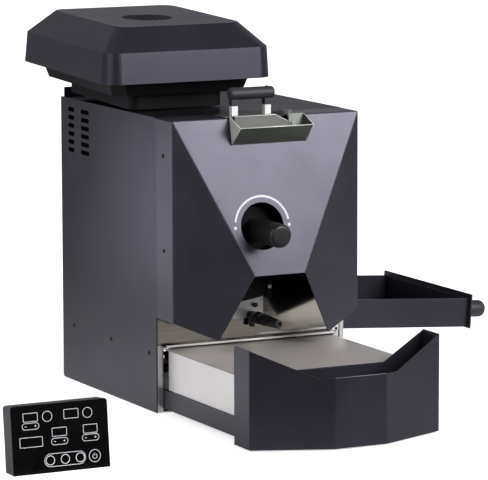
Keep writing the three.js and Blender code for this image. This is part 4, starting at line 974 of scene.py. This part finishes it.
# Power inlet at the back: a moulded socket under its rocker switch, with three flat plated
# pins, the middle one raised.
dress(moulded_black, 0.3, "power_inlet", "rocker_key")
pin_steel = steel("pin_steel", linear(226, 224, 216), 0.3, (600, 600, 40), 0.2)
pin_front, pin_back, pin_wide, pin_thick = 284.0, 292.6, 1.9, 0.95
for number, (x, z) in enumerate(((85.0, 42.0), (99.0, 42.0), (92.0, 46.5))):
    corners = rectangle(x - pin_thick, z - pin_wide, x + pin_thick, z + pin_wide)
    rings = [[(a, y, b) for a, b in corners] for y in (pin_front, pin_back)]
    pin_panels = walls_between(*rings) + [[rings[1]]]
    pin = folded(f"inlet_pin_{number}", pin_panels, pin_steel, (x, 288, z), 0.3, 0.3, trim=0.1)
    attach(pin, "cabinet")


# Cooling fan: a moulded rotor and frame in the back panel. Its guard is four rings of
# bright wire welded to four spokes, and a screw in each corner holds the frame.
dress(moulded_black, 0.3, "cooling_fan_frame", "cooling_fan_rotor")
fan_level, ring_plane, spoke_plane = 47, 294.2, 295.6


def on_guard(radius, angle, plane):
    """A point of the guard, at that radius and angle from its centre."""
    return radius * math.cos(angle), plane, fan_level + radius * math.sin(angle)


circle = np.linspace(0, 2 * np.pi, 49)
guard_wires = [[on_guard(radius, a, ring_plane) for a in circle] for radius in (9, 17, 25, 33)]
for angle in np.radians((45, 135, 225, 315)):
    guard_wires.append([on_guard(radius, angle, spoke_plane) for radius in np.linspace(6, 42, 7)])
bead("fan_guard_wire", guard_wires, 0.8, "cabinet", brushed_up, 12)
for number, (x, z) in enumerate(((-36, 11), (36, 11), (-36, 83), (36, 83))):
    screw_head(f"fan_screw_{number}", (x, 293.0, z), (0, 1, 0), 2.9, 1.6, 1.3, "cabinet")


# Feet, belt and board: four moulded rubber feet under the base, the rubber belt between
# motor and drum, and the control board with its green solder mask.
rubber = coat("foot_rubber", linear(30, 30, 31), 0.75, 800.0, 0.2, 0.00008)
board_green = coat("circuit_board", linear(30, 88, 52), 0.4, 300.0, 0.1, 0.00005)
dress(rubber, 0.5, "foot_front_left", "foot_front_right", "foot_rear_left", "foot_rear_right")
dress(rubber, 0.0, "drive_belt")
dress(board_green, 0.0, "control_board")


# Key pad: a moulded case that leans back, with a pane of dark glass let into its front.
# The pane is glossy where it is clean and duller where it has been touched.
# The case is a grey far lighter than the roaster's black plastic: painted light for the light on
# its side.
lit_case_plastic = coat("pad_case_lightened", linear(86, 82, 86), 0.6, 1000.0, 0.3, 0.00004)
dress(lit_case_plastic, 0.8, "pad_case")
glass = bpy.data.materials.new("dark_glass")
glass.use_nodes = True
tree = glass.node_tree
shader = tree.nodes["Principled BSDF"]
touch = noise(tree, place(tree, "TexCoord").outputs["Object"], 30.0, 4.0, 0.6)
tinted = mixed(tree, touch, linear(2, 2, 3), linear(5, 5, 7))
tree.links.new(tinted, shader.inputs["Base Color"])
tree.links.new(span(tree, touch, 0.35, 0.7, 0.06, 0.2), shader.inputs["Roughness"])
shader.inputs["Specular IOR Level"].default_value = 0.3
dress(glass, 0.5, "pad_glass")


# Pad outlines: display windows, rocker keys and round keys, outlined in pale print on the
# pane. A small cross and bar mark the rocker keys' ends.
pad_lean, line = math.radians(6.4), 0.75
pad_across = np.array([1.0, 0, 0])
pad_up = np.array([0, math.sin(pad_lean), math.cos(pad_lean)])
pad_out = np.array([0, -math.cos(pad_lean), math.sin(pad_lean)])
pad_corner = np.array([-440.0, -257.0, 0])


def on_pad(pairs):
    """Points of the pane from distances along its lower edge and up its face."""
    pairs = np.asarray(pairs, float)
    return pad_corner + pairs[:, :1] * pad_across + pairs[:, 1:] * pad_up


def frame_line(left, bottom, right, top, radius, steps=8):
    """A closed rectangular line whose corners are quarter circles."""
    angle = np.linspace(0, np.pi / 2, steps)
    corners = [(right, bottom, -1), (right, top, 0), (left, top, 1), (left, bottom, 2)]
    path = []
    for x, y, quarter in corners:
        turn_by = angle + quarter * np.pi / 2
        inward = np.array([-1 if x == right else 1, 1 if y == bottom else -1])
        centre = np.array([x, y]) + radius * inward
        path.append(centre + radius * np.column_stack([np.cos(turn_by), np.sin(turn_by)]))
    return ribbon(on_pad(np.concatenate(path)), line, pad_out, closed=True)


def ring_line(x, y, radius, start=0, end=360, width=line):
    """A circle, or the part of one between two angles in degrees."""
    closed = end - start == 360
    angle = np.radians(np.linspace(start, end, 49)[: 48 if closed else 49])
    path = np.column_stack([x + radius * np.cos(angle), y + radius * np.sin(angle)])
    return ribbon(on_pad(path), width, pad_out, closed=closed)


def bar(*ends):
    """A straight printed line between two points."""
    return ribbon(on_pad(ends), line, pad_out)


windows = [
    (15.7, 62.8, 34.0, 72.7),
    (68.0, 62.4, 86.5, 73.2),
    (51.8, 42.8, 70.4, 52.6),
    (92.1, 42.8, 109.9, 52.8),
    (10.0, 32.6, 38.9, 44.1),
]
rockers = [(14.0, 53.4, 35.4, 61.0), (50.3, 32.6, 71.5, 40.4), (90.2, 33.5, 111.7, 41.1)]
strips = [frame_line(*window, 0.6) for window in windows]
for left, bottom, right, top in rockers:
    middle, plus = (bottom + top) / 2, right - 4.5
    strips.append(frame_line(left, bottom, right, top, (top - bottom) / 2 - 0.1))
    strips.append(bar((left + 3.2, middle), (left + 5.8, middle)))
    strips.append(bar((plus - 1.3, middle), (plus + 1.3, middle)))
    strips.append(bar((plus, middle - 1.3), (plus, middle + 1.3)))
strips += [ring_line(46.5, 67.2, 6.1), ring_line(98.4, 67.2, 6.0)]
strips.append(frame_line(40.3, 7.2, 93.0, 22.4, 7.5, 16))
strips += [ring_line(x, 14.8, 5.4, width=0.95) for x in (47.6, 66.9, 86.2)]
power_x = 105.1
strips += [ring_line(power_x, 15.0, 7.3), ring_line(power_x, 14.6, 2.9, 125, 415)]
strips.append(bar((power_x, 15.0), (power_x, 18.6)))
pad_print = printed("pad_outlines", strips, pale_print)
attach(pad_print, "key_pad")
